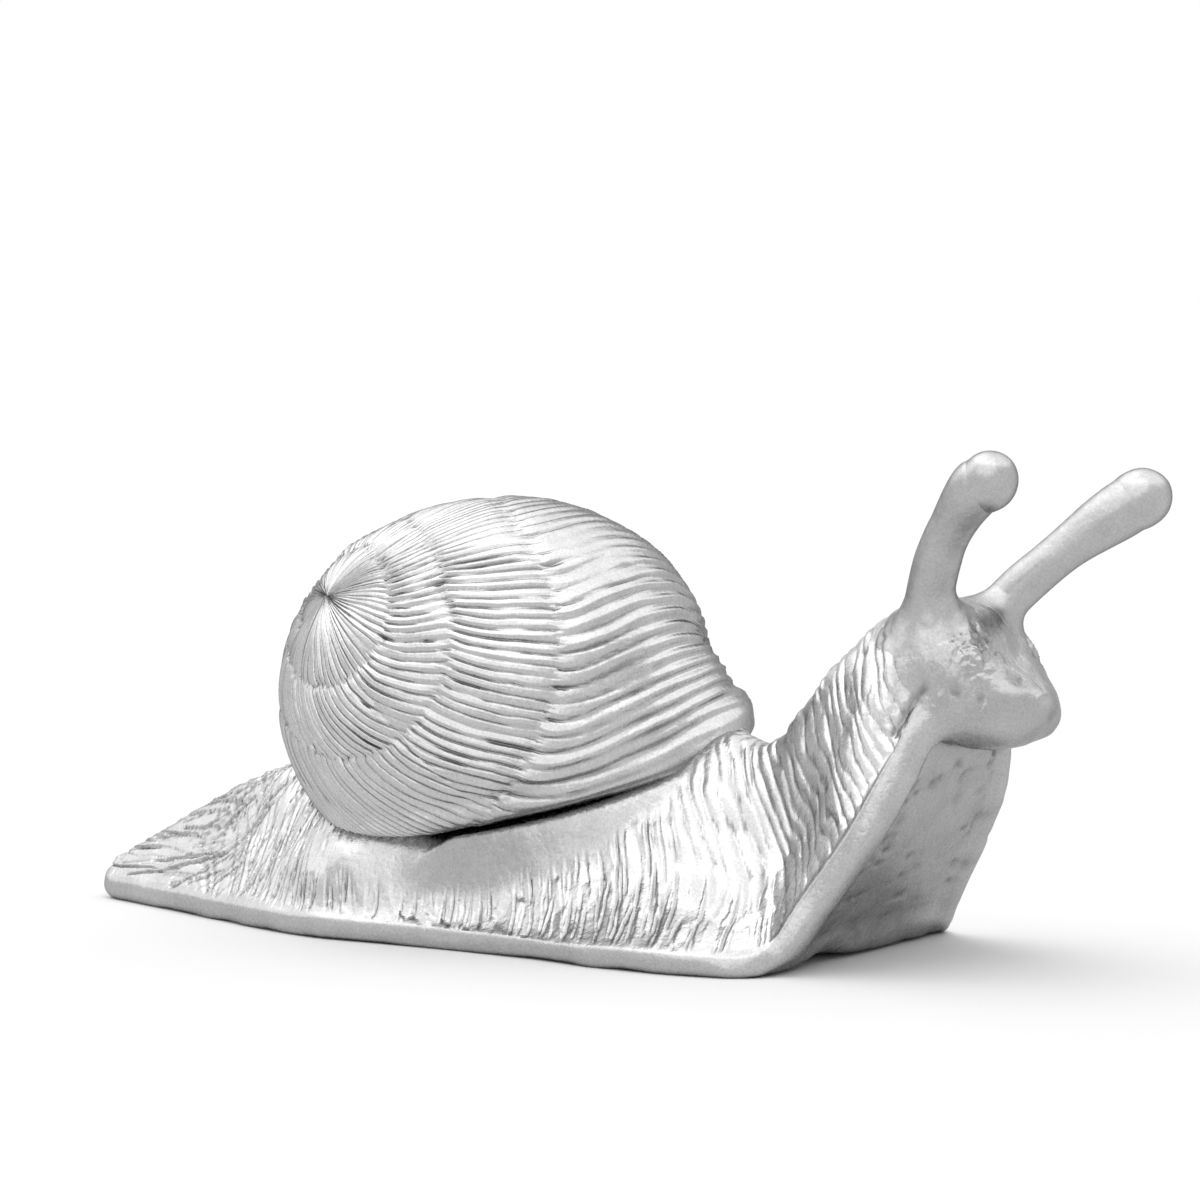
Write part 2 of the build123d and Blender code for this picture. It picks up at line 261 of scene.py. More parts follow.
def make_mesh(name, points, faces, skin):
    """A smooth mesh object from points in millimetres, with named numbers on its points."""
    mesh = bpy.data.meshes.new(name)
    mesh.from_pydata((np.asarray(points) * METRE).tolist(), [], faces)
    mesh.validate()
    mesh.polygons.foreach_set("use_smooth", [True] * len(mesh.polygons))
    for label, numbers in skin.items():
        layer = mesh.attributes.new(label, "FLOAT", "POINT")
        layer.data.foreach_set("value", np.asarray(numbers, dtype=np.float32))
    mesh.update()
    return place_object(name, mesh)


def grid_faces(rows, columns, start=0):
    """Quads of a grid whose columns meet, rows by columns, counted from start."""
    row, column = np.meshgrid(np.arange(rows - 1), np.arange(columns), indexing="ij")
    after = (column + 1) % columns
    first = start + row * columns
    second = first + columns
    quads = np.stack([first + column, first + after, second + after, second + column], axis=-1)
    return quads.reshape(-1, 4).tolist()


def fan(tip, start, count, forward):
    """Triangles that join a tip to a ring of points counted from start, taken forwards or backwards."""
    here = start + np.arange(count)
    after = start + (np.arange(count) + 1) % count
    first, second = (here, after) if forward else (after, here)
    return np.stack([np.full(count, tip), first, second], axis=-1).tolist()


# Shell frame on the unit ball that is stretched into the dome
apex_way = np.array(
    [
        math.cos(APEX_CLIMB) * math.cos(APEX_BEARING),
        math.cos(APEX_CLIMB) * math.sin(APEX_BEARING),
        math.sin(APEX_CLIMB),
    ]
)
side_way = unit(np.cross(apex_way, [0.0, 0.0, 1.0]))
fore_way = np.cross(apex_way, side_way)


def dome_way(spread, bearing):
    """Direction on the unit ball at an angle from the apex and a bearing around it."""
    spread = spread[..., None]
    bearing = bearing[..., None]
    around = side_way * np.cos(bearing) + fore_way * np.sin(bearing)
    return apex_way * np.cos(spread) + around * np.sin(spread)


def lip_plane(x, y):
    """Height of the ridged plane that the lip lies on."""
    near_fall = LIP_NEAR_FALL * (LIP_RIDGE_Y - y)
    far_fall = LIP_FAR_FALL * (y - LIP_RIDGE_Y)
    fall = 0.5 * (near_fall + far_fall + np.sqrt((near_fall - far_fall) ** 2 + 4.0)) - 1.0
    return LIP_HEIGHT + LIP_CLIMB * x - fall


def lip_spread(bearing):
    """Angle from the apex at which each meridian of the dome reaches the lip."""
    probe = np.radians(np.linspace(*LIP_SEARCH))
    way = dome_way(np.broadcast_to(probe[:, None], (len(probe), len(bearing))), bearing[None, :])
    place = SHELL_CENTRE + way * SHELL_SEMI
    above = place[..., 2] - lip_plane(place[..., 0], place[..., 1])
    first = np.argmax(above < 0.0, axis=0)
    column = np.arange(len(bearing))
    over = above[first - 1, column]
    under = above[first, column]
    share = over / (over - under)
    return probe[first - 1] + share * (probe[first] - probe[first - 1])


def whorl_place(spread, bearing):
    """Turn of the outer seam, share of the way to it, the whorl's width, and whether it is in the cap."""
    turn_here = np.mod((bearing - SEAM_BEARING) / TURN, 1.0)
    degrees = np.degrees(np.maximum(spread, 1e-4))
    bulge = np.interp(degrees, *WHORL_BULGE)
    shrink = np.interp(degrees, *WHORL_SHRINK)
    degrees = degrees / (shrink * (1.0 + bulge * np.cos(2.0 * (bearing - WHORL_BULGE_BEARING))))
    turn_of_spread = np.log(SEAM_SPREAD / degrees) / math.log(SEAM_GROWTH)
    cap_turn = SEAM_CAP_TURN + np.mod(turn_here - SEAM_CAP_TURN, 1.0)
    whorl = np.floor(turn_of_spread - turn_here)
    turn = turn_here + whorl
    turn = np.where(turn < BODY_FROM_TURN, turn + 1.0, turn)
    outer = SEAM_SPREAD * SEAM_GROWTH ** -turn
    inner = outer / SEAM_GROWTH
    share = 1.0 - (turn_of_spread - turn)
    in_cap = turn_of_spread > cap_turn
    cap_outer = SEAM_SPREAD * SEAM_GROWTH**-cap_turn
    turn = np.where(in_cap, cap_turn, turn)
    share = np.where(in_cap, degrees / cap_outer, share)
    width = np.where(in_cap, cap_outer, outer - inner)
    return turn, share, np.radians(width) * WHORL_RADIUS, in_cap


def rib_sweep(turn):
    """How far the ribs of a whorl sweep round on their way to its outer seam, and how late."""
    return np.interp(turn, *RIB_SWEEP), np.interp(turn, *RIB_SWEEP_POWER)


def evened(start, turned):
    """The turning of each grid column, kept in order round the shell and averaged with its neighbours."""
    off = np.sort(start + turned) - start
    ring = np.concatenate([off[-STREAM_REACH:], off, off[:STREAM_REACH]])
    count = 2 * STREAM_REACH + 1
    return np.convolve(ring, np.full(count, 1.0 / count), mode="valid")


def along_ribs(share_down):
    """Spread and bearing of a grid whose columns run along the ribs from the apex to the lip."""
    lip_bearing = np.linspace(0.0, TURN, 721)
    lip_here = lip_spread(lip_bearing)
    start = round_angles(SHELL_COLUMNS)
    turned = np.zeros(SHELL_COLUMNS)
    spreads, bearings = [], []
    for row, part in enumerate(share_down):
        bearing = np.mod(start + evened(start, turned), TURN)
        bearings.append(bearing)
        spreads.append(part * np.interp(bearing, lip_bearing, lip_here))
        if row + 1 == len(share_down):
            break
        fine = np.linspace(part, share_down[row + 1], STREAM_STEPS + 1)
        for here, after in zip(fine[:-1], fine[1:]):
            bearing = np.mod(start + turned, TURN)
            spread = here * np.interp(bearing, lip_bearing, lip_here)
            turn, share, _, in_cap = whorl_place(spread, bearing)
            sweep, power = rib_sweep(turn)
            slope = sweep * power * np.clip(share, 0.0, 1.6) ** (power - 1.0)
            step = (after / here - 1.0) / math.log(SEAM_GROWTH)
            turned = turned + np.where(in_cap, 0.0, TURN * slope / (1.0 - slope) * step)
    spreads, bearings = np.array(spreads), np.array(bearings)
    return spreads, bearings, np.interp(bearings, lip_bearing, lip_here)


def ribs_passed(turn):
    """Number of ribs from the lip end of the spiral to a turn."""
    fine = np.linspace(RIB_TURNS[0], RIB_TURNS[-1], 921)
    rate = np.interp(fine, RIB_TURNS, RIB_RATES)
    passed = added_up(0.5 * (rate[1:] + rate[:-1]) * np.diff(fine))
    return np.interp(turn, fine, passed)


def rib_relief(turn, share):
    """Height of the ribs, depth of the cuts, each point's place among the ribs, and the body whorl."""
    sweep, power = rib_sweep(turn)
    swept = turn - sweep * np.maximum(share, 0.0) ** power
    steady = ribs_passed(swept)
    in_whorl = np.floor(turn)
    wander = RIB_WANDER * ripple(3, steady * 0.17, share * 0.8 + 7.0 * in_whorl)
    wander = wander + RIB_SHAKE * ripple(4, steady * 0.9, share * 6.0)
    phase = steady + wander
    number = np.floor(phase)
    part = phase - number
    to_line = np.minimum(part, 1.0 - part)
    nearest = np.floor(phase + 0.5)

    # Ridged lands of uneven height and tilt, with thin broken lines between them and a few wide gouges
    height = RIB_HEIGHT * np.interp(turn, *RIB_HEIGHT_SHARE)
    body = fade(*BODY_END_TURN, turn)
    faded = body * smooth(*FADE_TURN, turn) * smooth(*FADE_SHARE, share)
    height = height * (1.0 - 0.85 * faded)
    land = scatter(5, number, in_whorl + 11) - 0.5
    tilt = (part - 0.5) * (scatter(7, number, in_whorl + 3) - 0.5)
    ridge = np.minimum(part / RIDGE_RISE, (1.0 - part) / RIDGE_FALL)
    ridge = ridge * (0.4 + 0.9 * scatter(17, number, in_whorl + 2))
    coarse = RIB_RATES[0] / np.interp(turn, RIB_TURNS, RIB_RATES)
    held = smooth(-0.35, 0.15, ripple(6, nearest * 1.7 + 0.5, share * 3.4))
    line = bell(to_line, LINE_WIDTH) * (0.2 + 0.8 * held)
    deep = smooth(0.6, 0.9, scatter(8, nearest, in_whorl + 5))
    deep = deep * np.interp(turn, *GOUGE_SHARE)
    deep = deep * smooth(0.05, 0.4, ripple(9, nearest * 1.3, share * 4.0 + 3.0))
    gouge = bell(to_line, GOUGE_WIDTH) * deep
    relief = height * coarse * (LAND_STEP * land + LAND_TILT * tilt + LAND_RIDGE * ridge)
    relief = relief - height * (LINE_DEPTH * line + GOUGE_DEPTH * gouge)
    relief = relief + 0.3 * faded * np.sin(TURN * phase)
    cut = np.clip(line * (0.45 + 0.5 * held) + 0.9 * gouge, 0.0, 1.0) * (1.0 - 0.8 * faded)
    return relief, cut, phase, number, body


def build_shell():
    """The shell above its lip, with ribs, the spiral seam and a rolled smooth lip."""
    spread, bearings, lip_here = along_ribs(np.linspace(SHELL_TOP_SHARE, 1.0, SHELL_ROWS))
    way = dome_way(spread, bearings)
    base = SHELL_CENTRE + way * SHELL_SEMI
    base_x, base_y, base_z = np.moveaxis(base, -1, 0)
    normal = unit(way / SHELL_SEMI)
    to_lip = np.linalg.norm(SHELL_CENTRE + dome_way(lip_here, bearings) * SHELL_SEMI - base, axis=-1)

    turn, share, width, in_cap = whorl_place(spread, bearings)
    relief, cut, phase, number, body = rib_relief(turn, share)
    ragged = SEAM_RAGGED * (scatter(15, number, np.floor(turn)) - 0.5)
    outer_gap = np.where(turn > -0.05, 1.0 - share, 1.0)
    inner_gap = np.where(in_cap, 1.0, share)
    seam_gap = np.minimum(outer_gap, inner_gap) * width
    seam_gap = np.abs(seam_gap + ragged)
    near_seam = np.exp(-seam_gap / SEAM_WIDTH)
    line = bell(seam_gap, SEAM_LINE_WIDTH) * smooth(0.1, 0.5, ripple(12, base_x * 0.5, base_z * 0.5))

    # The ribs stop at the plain band along the lip; the front flares out and the rest turns in
    band_here = between(bearings, BAND_BEARINGS)
    plain = band_here * fade(*BAND_EDGE, to_lip + 0.8 * ripple(13, turn * 40.0, share * 0.0))
    edge_plain = fade(0.0, 1.0, to_lip)
    calm = TOP_CALM * smooth(*TOP_CALM_HEIGHT, base_z)
    keep = (1.0 - plain) * (1.0 - 0.7 * edge_plain) * (1.0 - calm)
    front = between(bearings, FRONT_BEARINGS)
    flare = BEAD_HEIGHT * band_here * bell(to_lip - BEAD_PLACE, BEAD_WIDTH)
    turn_in = np.clip(1.0 - to_lip / LIP_TURN_WIDTH, 0.0, 1.0) ** 2
    flare = flare - LIP_TURN_IN * (1.0 - FRONT_STRAIGHT * front) * turn_in
    flare = flare + front * flowing(FLARE_FROM_LIP, FLARE_LIFT, np.clip(to_lip, 0.0, FLARE_FROM_LIP[-1]))
    dip = DIP_DEPTH * band_here * bell(to_lip - DIP_PLACE, DIP_WIDTH)

    lift = relief * keep - SEAM_DEPTH * near_seam - SEAM_LINE_DEPTH * line + flare - dip
    lift = lift + SHELL_LUMPS * ripple(14, base_x * 0.17 + 3.0, base_z * 0.17 + base_y * 0.1)
    lift = lift - TOP_FLAT * bell(base_x, TOP_FLAT_LENGTH) * smooth(*TOP_FLAT_HEIGHT, base_z)
    shown = base + normal * lift[..., None]
    # Painted shade in the cuts of the ribs and along the seam
    depth = np.clip(cut * keep + 0.25 * line, 0.0, 1.0)

    # The lip rolls under, then runs inwards out of sight
    edge = shown[-1]
    ahead = SHELL_CENTRE + dome_way(lip_here[-1] + 0.01, bearings[-1]) * SHELL_SEMI
    straight = unit(ahead - base[-1])
    slope = 2.0 * LIP_TURN_IN / LIP_TURN_WIDTH * (1.0 - FRONT_STRAIGHT * front[-1]) - FLARE_SLOPE * front[-1]
    turned_in = np.arctan(slope)[:, None]
    meridian = straight * np.cos(turned_in) - normal[-1] * np.sin(turned_in)
    outward = normal[-1] * np.cos(turned_in) + straight * np.sin(turned_in)
    under = []
    for angle in np.radians(LIP_ROLL_ANGLES):
        under.append(edge + LIP_ROLL * (outward * (math.cos(angle) - 1.0) + meridian * math.sin(angle)))
    rolled = under[-1]
    inwards = unit(SHELL_CENTRE + LIP_INNER_AIM - edge)
    for reach in LIP_INNER_REACH:
        under.append(rolled + inwards * reach)
    under = np.array(under)
    hidden = np.zeros(under.size // 3 + 1)

    grid = np.vstack([shown, under])
    apex = SHELL_CENTRE + apex_way * SHELL_SEMI
    points = np.vstack([grid.reshape(-1, 3), apex[None, :]])
    skin = {
        "cut": np.concatenate([depth.ravel(), hidden]),
        "rib": np.concatenate([phase.ravel(), hidden]),
        "ribbed": np.concatenate([(keep * (1.0 - body)).ravel(), hidden]),
    }
    rows = len(grid)
    last = (rows - 1) * SHELL_COLUMNS
    faces = grid_faces(rows, SHELL_COLUMNS) + fan(len(points) - 1, 0, SHELL_COLUMNS, False)
    faces.append([last + column for column in range(SHELL_COLUMNS)])
    return make_mesh("shell_ribbed", points, faces, skin)


# Foot sections: x, half width and height of the rim line, x and height of the back line, the shoulder's
# place out and up, and how far the section has turned from the open foot to the round head
FOOT_STATIONS = np.array(
    [
        [-74, 1.6, 4, -73.6, 5.4, 0.5, 0.8, 0],
        [-73, 4, 1.4, -72.4, 6.8, 0.5, 0.8, 0],
        [-70.5, 5.8, 0.2, -70.2, 8, 0.5, 0.76, 0],
        [-65, 8, 0, -65, 10.8, 0.5, 0.66, 0],
        [-54, 12.8, 0, -54, 16.8, 0.5, 0.58, 0],
        [-41, 18.4, 0, -42, 22.8, 0.52, 0.54, 0],
        [-29, 23.6, 0, -31, 26, 0.6, 0.54, 0],
        [-19.4, 27.4, 0, -22.4, 26, 0.68, 0.56, 0],
        [-7.5, 30.1, 0, -12.5, 26, 0.76, 0.6, 0],
        [11.8, 30.4, 0, 3, 26, 0.74, 0.64, 0],
        [31.9, 32.6, 0, 18.9, 27, 0.67, 0.66, 0],
        [46, 35.6, 0, 31, 29, 0.59, 0.63, 0],
        [60, 36.6, 0, 43, 33, 0.52, 0.54, 0],
        [69, 35.6, 0, 50.5, 34, 0.48, 0.46, 0],
        [74, 33.2, 0.2, 55, 33.7, 0.46, 0.43, 0],
        [77, 29.8, 1.9, 57.8, 33.2, 0.48, 0.43, 0],
        [79.6, 27.8, 5.2, 61.2, 34.4, 0.5, 0.45, 0],
        [82.9, 25.8, 10.3, 64.8, 38.8, 0.55, 0.47, 0],
        [86.2, 24.3, 15.5, 68.6, 43.8, 0.62, 0.5, 0],
        [90.4, 22.1, 23.2, 74.2, 49.4, 0.74, 0.54, 0],
        [93.4, 19.2, 29.6, 79.4, 54, 0.84, 0.57, 0.08],
        [95.8, 16, 34, 85, 57.2, 0.9, 0.58, 0.5],
        [98.8, 14.4, 34.6, 91, 58.2, 0.9, 0.6, 0.9],
        [101.8, 13.4, 34.8, 96.2, 56.8, 0.9, 0.6, 1],
        [104.4, 12, 35.4, 99.8, 52.8, 0.9, 0.6, 1],
        [106.2, 10, 36.6, 102.6, 48.6, 0.9, 0.6, 1],
        [107.6, 7.2, 38.4, 105.8, 45.4, 0.9, 0.6, 1],
        [108.4, 3.2, 40.6, 107.9, 43.6, 0.9, 0.6, 1],
    ]
)
RIM_RADIUS = 2.2
FRONT_RIM_EXTRA = 0.9
RIM_TURN = math.radians(52.0)
RIM_BOXY = 0.7
FLANK_STEEP = 0.9
# How square the head is below and above its middle, and how much of its half turn the sole and rim take up
EGG_BELOW = 3.4
EGG_ABOVE = 2.4
SOLE_TURN = 0.30
RIM_TURN_END = 0.44
# Painted shade and light by place: how much the head, the rim and the cove under the shell are darkened, and
# how much the neck is brightened
HEAD_PAINTED_SHADE = 1.1
RIM_PAINTED_SHADE = 0.6
NECK_PAINTED_LIGHT = 2.0
COVE_PAINTED_SHADE = 1.2
# Seat under the shell, and how far past the dome the lip reaches
SEAT_INSET = 2.2
SEAT_GAP = 0.6
LIP_OVERHANG = 2.2
# The cove that rises to the lip, and how far the carving keeps from the shell
COVE_REACH = 0.13
COVE_START_X = (2.0, 14.0)
COVE_END_X = (42.0, 54.0)
CLEAR_OF_SHELL = (1.04, 1.15)
CARVED_TAIL_X = (-22.0, -6.0)
UNDER_SHELL_X = (8.0, 24.0)
COVE_FILL = 5.0
# The saddle behind the neck on the far side, and the arch under the front
SADDLE_HEIGHT = 3.4
SADDLE_X, SADDLE_LENGTH = 48.0, 6.0
SADDLE_Y, SADDLE_WIDTH = 11.0, 8.0
ARCH_HEIGHT, ARCH_Y, ARCH_WIDTH = 1.6, -12.0, 8.0
# Tool strokes and lands on the flank, tail and neck; runs are measured along the rim from the tail
STROKE_COUNT = 560
STROKE_MARGIN = 9.0
STROKE_END = 14.0
STROKE_LEAN = math.radians(10.0)
STROKE_TURN = math.radians(78.0)
SPARSE_RUN = 140.0
SPARSE_SHARE = 0.45
FLANK_LAND_WIDTH = 2.4
TAIL_LAND_WIDTH = 1.9
LAND_LENGTH = 6.0
LANE_WANDER = 0.35
FLANK_STEP = 0.18
FLANK_TILT = 0.85
LUMP_HEIGHT = 0.24
TAIL_END_RUN = (26.0, 60.0)
NECK_FROM_X = (64.0, 73.0)
NECK_RUN = 150.0
NECK_LEAN = math.radians(98.0)
NECK_LAND_WIDTH = 2.5
NECK_LAND_LENGTH = 9.0
TIP_BULGE = np.array([0.3, 0.0, 0.0])
DISH_DEPTH = 1.3
FRONT_PITS = 46
FRONT_PIT_DEPTH = 0.35
HEAD_FROM_X = 72.0
HEAD_PITS = 90
HEAD_FLAKES = 80
SLIT_WIDTH = 0.5
SLIT_START = np.array([89.6, -16.5, 37.5])
SLIT_END = np.array([93.9, -14.0, 45.3])
CHEEK_WAY = np.array([0.51, -0.857, 0.07])
RING_PLACE = np.array([101.0, -11.0, 50.1])
RING_RADIUS = 1.7


def flowing(knots, values, wanted):
    """Smooth values between knots that don't swing past them."""
    gap = np.diff(knots)
    slope = np.diff(values) / gap
    tangent = np.zeros_like(values)
    same_way = slope[:-1] * slope[1:] > 0
    weight_a = 2 * gap[1:] + gap[:-1]
    weight_b = gap[1:] + 2 * gap[:-1]
    safe_a = np.where(slope[:-1] == 0, 1.0, slope[:-1])
    safe_b = np.where(slope[1:] == 0, 1.0, slope[1:])
    mean = (weight_a + weight_b) / (weight_a / safe_a + weight_b / safe_b)
    tangent[1:-1] = np.where(same_way, mean, 0.0)
    tangent[0] = slope[0]
    tangent[-1] = slope[-1]
    index = np.clip(np.searchsorted(knots, wanted, side="right") - 1, 0, len(gap) - 1)
    length = gap[index]
    share = (wanted - knots[index]) / length
    leave, arrive = tangent[index] * length, tangent[index + 1] * length
    return hermite(values[index], values[index + 1], leave, arrive, share)


def hermite(start, end, leave, arrive, share):
    """A cubic between two points with its tangents."""
    square, cube = share**2, share**3
    return (
        start * (2 * cube - 3 * square + 1)
        + leave * (cube - 2 * square + share)
        + end * (3 * square - 2 * cube)
        + arrive * (cube - square)
    )


def half_section(half_width, height, out, up, head, rim, steep):
    """One half of a section, from the middle of the sole over the rim to the middle of the back."""
    edge = min(rim, 0.3 * height, 0.6 * half_width)
    sole_share = np.linspace(0.0, 1.0, SOLE_POINTS, endpoint=False)
    sole = np.stack([sole_share * (half_width - edge), np.zeros(SOLE_POINTS)], axis=-1)
    angle = np.linspace(-0.5 * math.pi, RIM_TURN, RIM_POINTS, endpoint=False)
    rim_out = np.abs(np.cos(angle)) ** RIM_BOXY
    rim_up = np.sign(np.sin(angle)) * np.abs(np.sin(angle)) ** RIM_BOXY
    roll = np.stack([half_width - edge + edge * rim_out, edge + edge * rim_up], axis=-1)
    top_out = math.cos(RIM_TURN) ** RIM_BOXY
    top_up = math.sin(RIM_TURN) ** RIM_BOXY
    top = np.array([half_width - edge + edge * top_out, edge + edge * top_up])
    shoulder = np.array([half_width * out, height * up])
    ridge = np.array([0.0, height])
    through = unit(unit(ridge - top) + np.array([0.0, steep])) * 0.5 * np.linalg.norm(ridge - top)
    leave = np.array([-math.sin(RIM_TURN), math.cos(RIM_TURN)]) * np.linalg.norm(shoulder - top)
    arrive = np.array([-1.0, 0.0]) * np.linalg.norm(ridge - shoulder)
    below = np.linspace(0.0, 1.0, FLANK_POINTS // 2, endpoint=False)[:, None]
    above = np.linspace(0.0, 1.0, FLANK_POINTS - FLANK_POINTS // 2)[:, None]
    flank = np.vstack(
        [hermite(top, shoulder, leave, through, below), hermite(shoulder, ridge, through, arrive, above)]
    )
    foot = np.vstack([sole, roll, flank])
    turned = np.concatenate(
        [
            np.linspace(0.0, SOLE_TURN, SOLE_POINTS, endpoint=False),
            np.linspace(SOLE_TURN, RIM_TURN_END, RIM_POINTS, endpoint=False),
            np.linspace(RIM_TURN_END, 1.0, FLANK_POINTS),
        ]
    )
    angle = turned * math.pi
    sine, cosine = np.sin(angle), np.cos(angle)
    flat = np.where(cosine > 0.0, 2.0 / EGG_BELOW, 2.0 / EGG_ABOVE)
    egg_width = half_width * np.abs(sine) ** flat
    egg_height = 0.5 * height * (1.0 - np.sign(cosine) * np.abs(cosine) ** flat)
    egg = np.stack([egg_width, egg_height], axis=-1)
    return foot * (1.0 - head) + egg * head


def carve(run, across, strokes):
    """Relief and cut depth of straight tool strokes laid out on the unrolled skin of one side."""
    relief = np.zeros_like(run)
    cut = np.zeros_like(run)
    ring_run = run.mean(axis=1)
    for middle_run, middle_across, half_length, half_width, angle, depth in strokes:
        reach = half_length + STROKE_MARGIN
        first = np.searchsorted(ring_run, middle_run - reach)
        last = np.searchsorted(ring_run, middle_run + reach)
        if last <= first:
            continue
        off_run = run[first:last] - middle_run
        off_across = across[first:last] - middle_across
        along = off_run * math.cos(angle) + off_across * math.sin(angle)
        aside = -off_run * math.sin(angle) + off_across * math.cos(angle)
        aside = aside + 0.12 * ripple(int(middle_run * 10) + 400, along * 0.35, along * 0.0)
        hold = fade(0.75, 1.0, np.abs(along) / half_length)
        groove = bell(aside, half_width) * hold
        burr = bell(aside - 1.9 * half_width, 1.2 * half_width) * hold
        relief[first:last] += depth * (0.3 * burr - groove)
        cut[first:last] = np.maximum(cut[first:last], groove * min(1.0, depth / 0.45))
    return relief, cut


def skin_strokes(seed, length):
    """Tool strokes of one side: along the tail, across the skirt, and down the neck."""
    rng = np.random.default_rng(seed)
    strokes = []
    for _ in range(STROKE_COUNT):
        run = rng.uniform(5.0, length)
        across = rng.uniform(1.0, 30.0)
        turn = float(smooth(22.0, 58.0, np.array(run)))
        angle = STROKE_LEAN + turn * STROKE_TURN + rng.normal(0.0, 0.08)
        if run > SPARSE_RUN and rng.uniform() < SPARSE_SHARE:
            continue
        if run > NECK_RUN:
            angle = NECK_LEAN + rng.normal(0.0, 0.13)
        half_length = rng.uniform(2.5, 7.5) * (1.5 - 0.5 * turn)
        strokes.append((run, across, half_length, rng.uniform(0.11, 0.22), angle, rng.uniform(0.12, 0.46)))
    return strokes


def neck_lands(run, across, seed):
    """Relief and cuts of the neck: lens-shaped lands side by side, with thin cuts between them."""
    along = run * math.cos(NECK_LEAN) + across * math.sin(NECK_LEAN)
    aside = run * math.sin(NECK_LEAN) - across * math.cos(NECK_LEAN)
    lane = aside / NECK_LAND_WIDTH + 0.5 * ripple(seed + 41, aside * 0.22, along * 0.14)
    number = np.floor(lane)
    part = np.abs(2.0 * (lane - number) - 1.0)
    place = along / NECK_LAND_LENGTH + 3.0 * scatter(seed + 42, number, number * 0)
    cell = np.floor(place)
    pinch = 0.2 + 0.5 * scatter(seed + 46, number, cell)
    bulge = 0.99 - pinch * np.abs(2.0 * (place - cell) - 1.0) ** 4
    lens = np.clip(1.0 - (part / bulge) ** 2, 0.0, 1.0)
    tilt = (lane - number - 0.5) * (scatter(seed + 43, number, cell) - 0.5)
    height = 0.10 + 0.22 * scatter(seed + 44, number, cell)
    held = smooth(-0.5, 0.3, ripple(seed + 45, number * 1.7, along * 0.3))
    cut = smooth(0.14, 0.0, lens) * (0.05 + 0.85 * held)
    return height * lens + 0.45 * tilt - 0.1, cut


def to_segment(points, start, end):
    """Distance of points from a straight segment."""
    along = end - start
    share = np.clip(((points - start) @ along) / (along @ along), 0.0, 1.0)
    return np.linalg.norm(points - start - share[..., None] * along, axis=-1)


def head_marks(base):
    """Tool marks of the head: a slit, a raised seam and a rough ring on each cheek, pits and flakes."""
    relief = np.zeros(base.shape[:2])
    cut = np.zeros(base.shape[:2])
    flat_start = SLIT_START - (SLIT_START @ CHEEK_WAY) * CHEEK_WAY
    flat_end = SLIT_END - (SLIT_END @ CHEEK_WAY) * CHEEK_WAY
    for points in (base, base * MIRROR):
        out = points @ CHEEK_WAY
        slit_gap = to_segment(points - out[..., None] * CHEEK_WAY, flat_start, flat_end)
        slit = bell(slit_gap, SLIT_WIDTH) * (points[..., 1] < -6.0) * (points[..., 0] > HEAD_FROM_X)
        seam = bell(to_segment(points, SLIT_END, RING_PLACE), 0.6)
        off_ring = np.linalg.norm(points - RING_PLACE, axis=-1)
        rough = ripple(61, points[..., 0] * 1.3, points[..., 2] * 1.3 + points[..., 1])
        ring = bell(off_ring - RING_RADIUS, 0.6) * (0.7 + 0.6 * rough)
        patch = bell(off_ring, 3.2) * 0.35 * ripple(62, points[..., 0] * 2.2, points[..., 2] * 2.2)
        relief = relief - 0.7 * slit + 0.25 * seam + 0.45 * ring + patch
        cut = np.maximum(cut, 0.9 * slit)
    rng = np.random.default_rng(63)
    first = int(np.argmax(base[..., 0].max(axis=1) > HEAD_FROM_X))
    skin = base[first:]
    on_head = smooth(HEAD_FROM_X, HEAD_FROM_X + 8.0, skin[..., 0])
    for _ in range(HEAD_PITS):
        spot = rng.uniform([76.0, 2.0, 2.0], [108.0, 26.0, 58.0])
        spot[1] *= rng.choice([-1.0, 1.0])
        size = rng.uniform(0.22, 0.45)
        gap = np.linalg.norm(skin - spot, axis=-1)
        nearest = gap.min()
        pit = bell(gap - nearest, size) * bell(nearest, 4.0) * on_head
        relief[first:] -= 0.3 * pit
        cut[first:] = np.maximum(cut[first:], 0.6 * pit)
    for _ in range(HEAD_FLAKES):
        spot = rng.uniform([84.0, 3.0, 39.0], [103.0, 16.0, 58.0])
        spot[1] *= rng.choice([-1.0, 1.0])
        stretch = rng.normal(0.0, 1.0, 3) * rng.uniform(0.4, 1.1)
        gap = to_segment(skin, spot - stretch, spot + stretch)
        nearest = gap.min()
        flake = np.exp(-(((gap - nearest) / 0.4) ** 4)) * bell(nearest, 3.0)
        relief[first:] += rng.uniform(-0.25, 0.35) * flake
    return relief, cut


def shell_seat(start):
    """The raised seat that the shell stands on, just inside the lip; it shows only in the gap."""
    rows, count = 24, 120
    angle = round_angles(count)
    level = np.stack([np.cos(angle), np.sin(angle), np.zeros(count)], axis=-1)
    semi = SHELL_SEMI - SEAT_INSET

    def on_seat(polar):
        way = level * np.sin(polar)[..., None]
        way[..., 2] = np.cos(polar)
        return SHELL_CENTRE + way * semi

    low, high = np.zeros(count), np.full(count, math.pi)
    for _ in range(40):
        middle = 0.5 * (low + high)
        place = on_seat(middle)
        above = place[:, 2] > lip_plane(place[:, 0], place[:, 1]) - SEAT_GAP
        low = np.where(above, middle, low)
        high = np.where(above, high, middle)
    share = np.linspace(0.0, 0.97, rows)[:, None]
    grid = np.array([on_seat(row) for row in high + (math.pi - high) * share])
    points = np.vstack([grid.reshape(-1, 3), grid[0].mean(axis=0)[None, :]])
    faces = [face[::-1] for face in grid_faces(rows, count, start)]
    return points, faces + fan(start + rows * count, start, count, True)


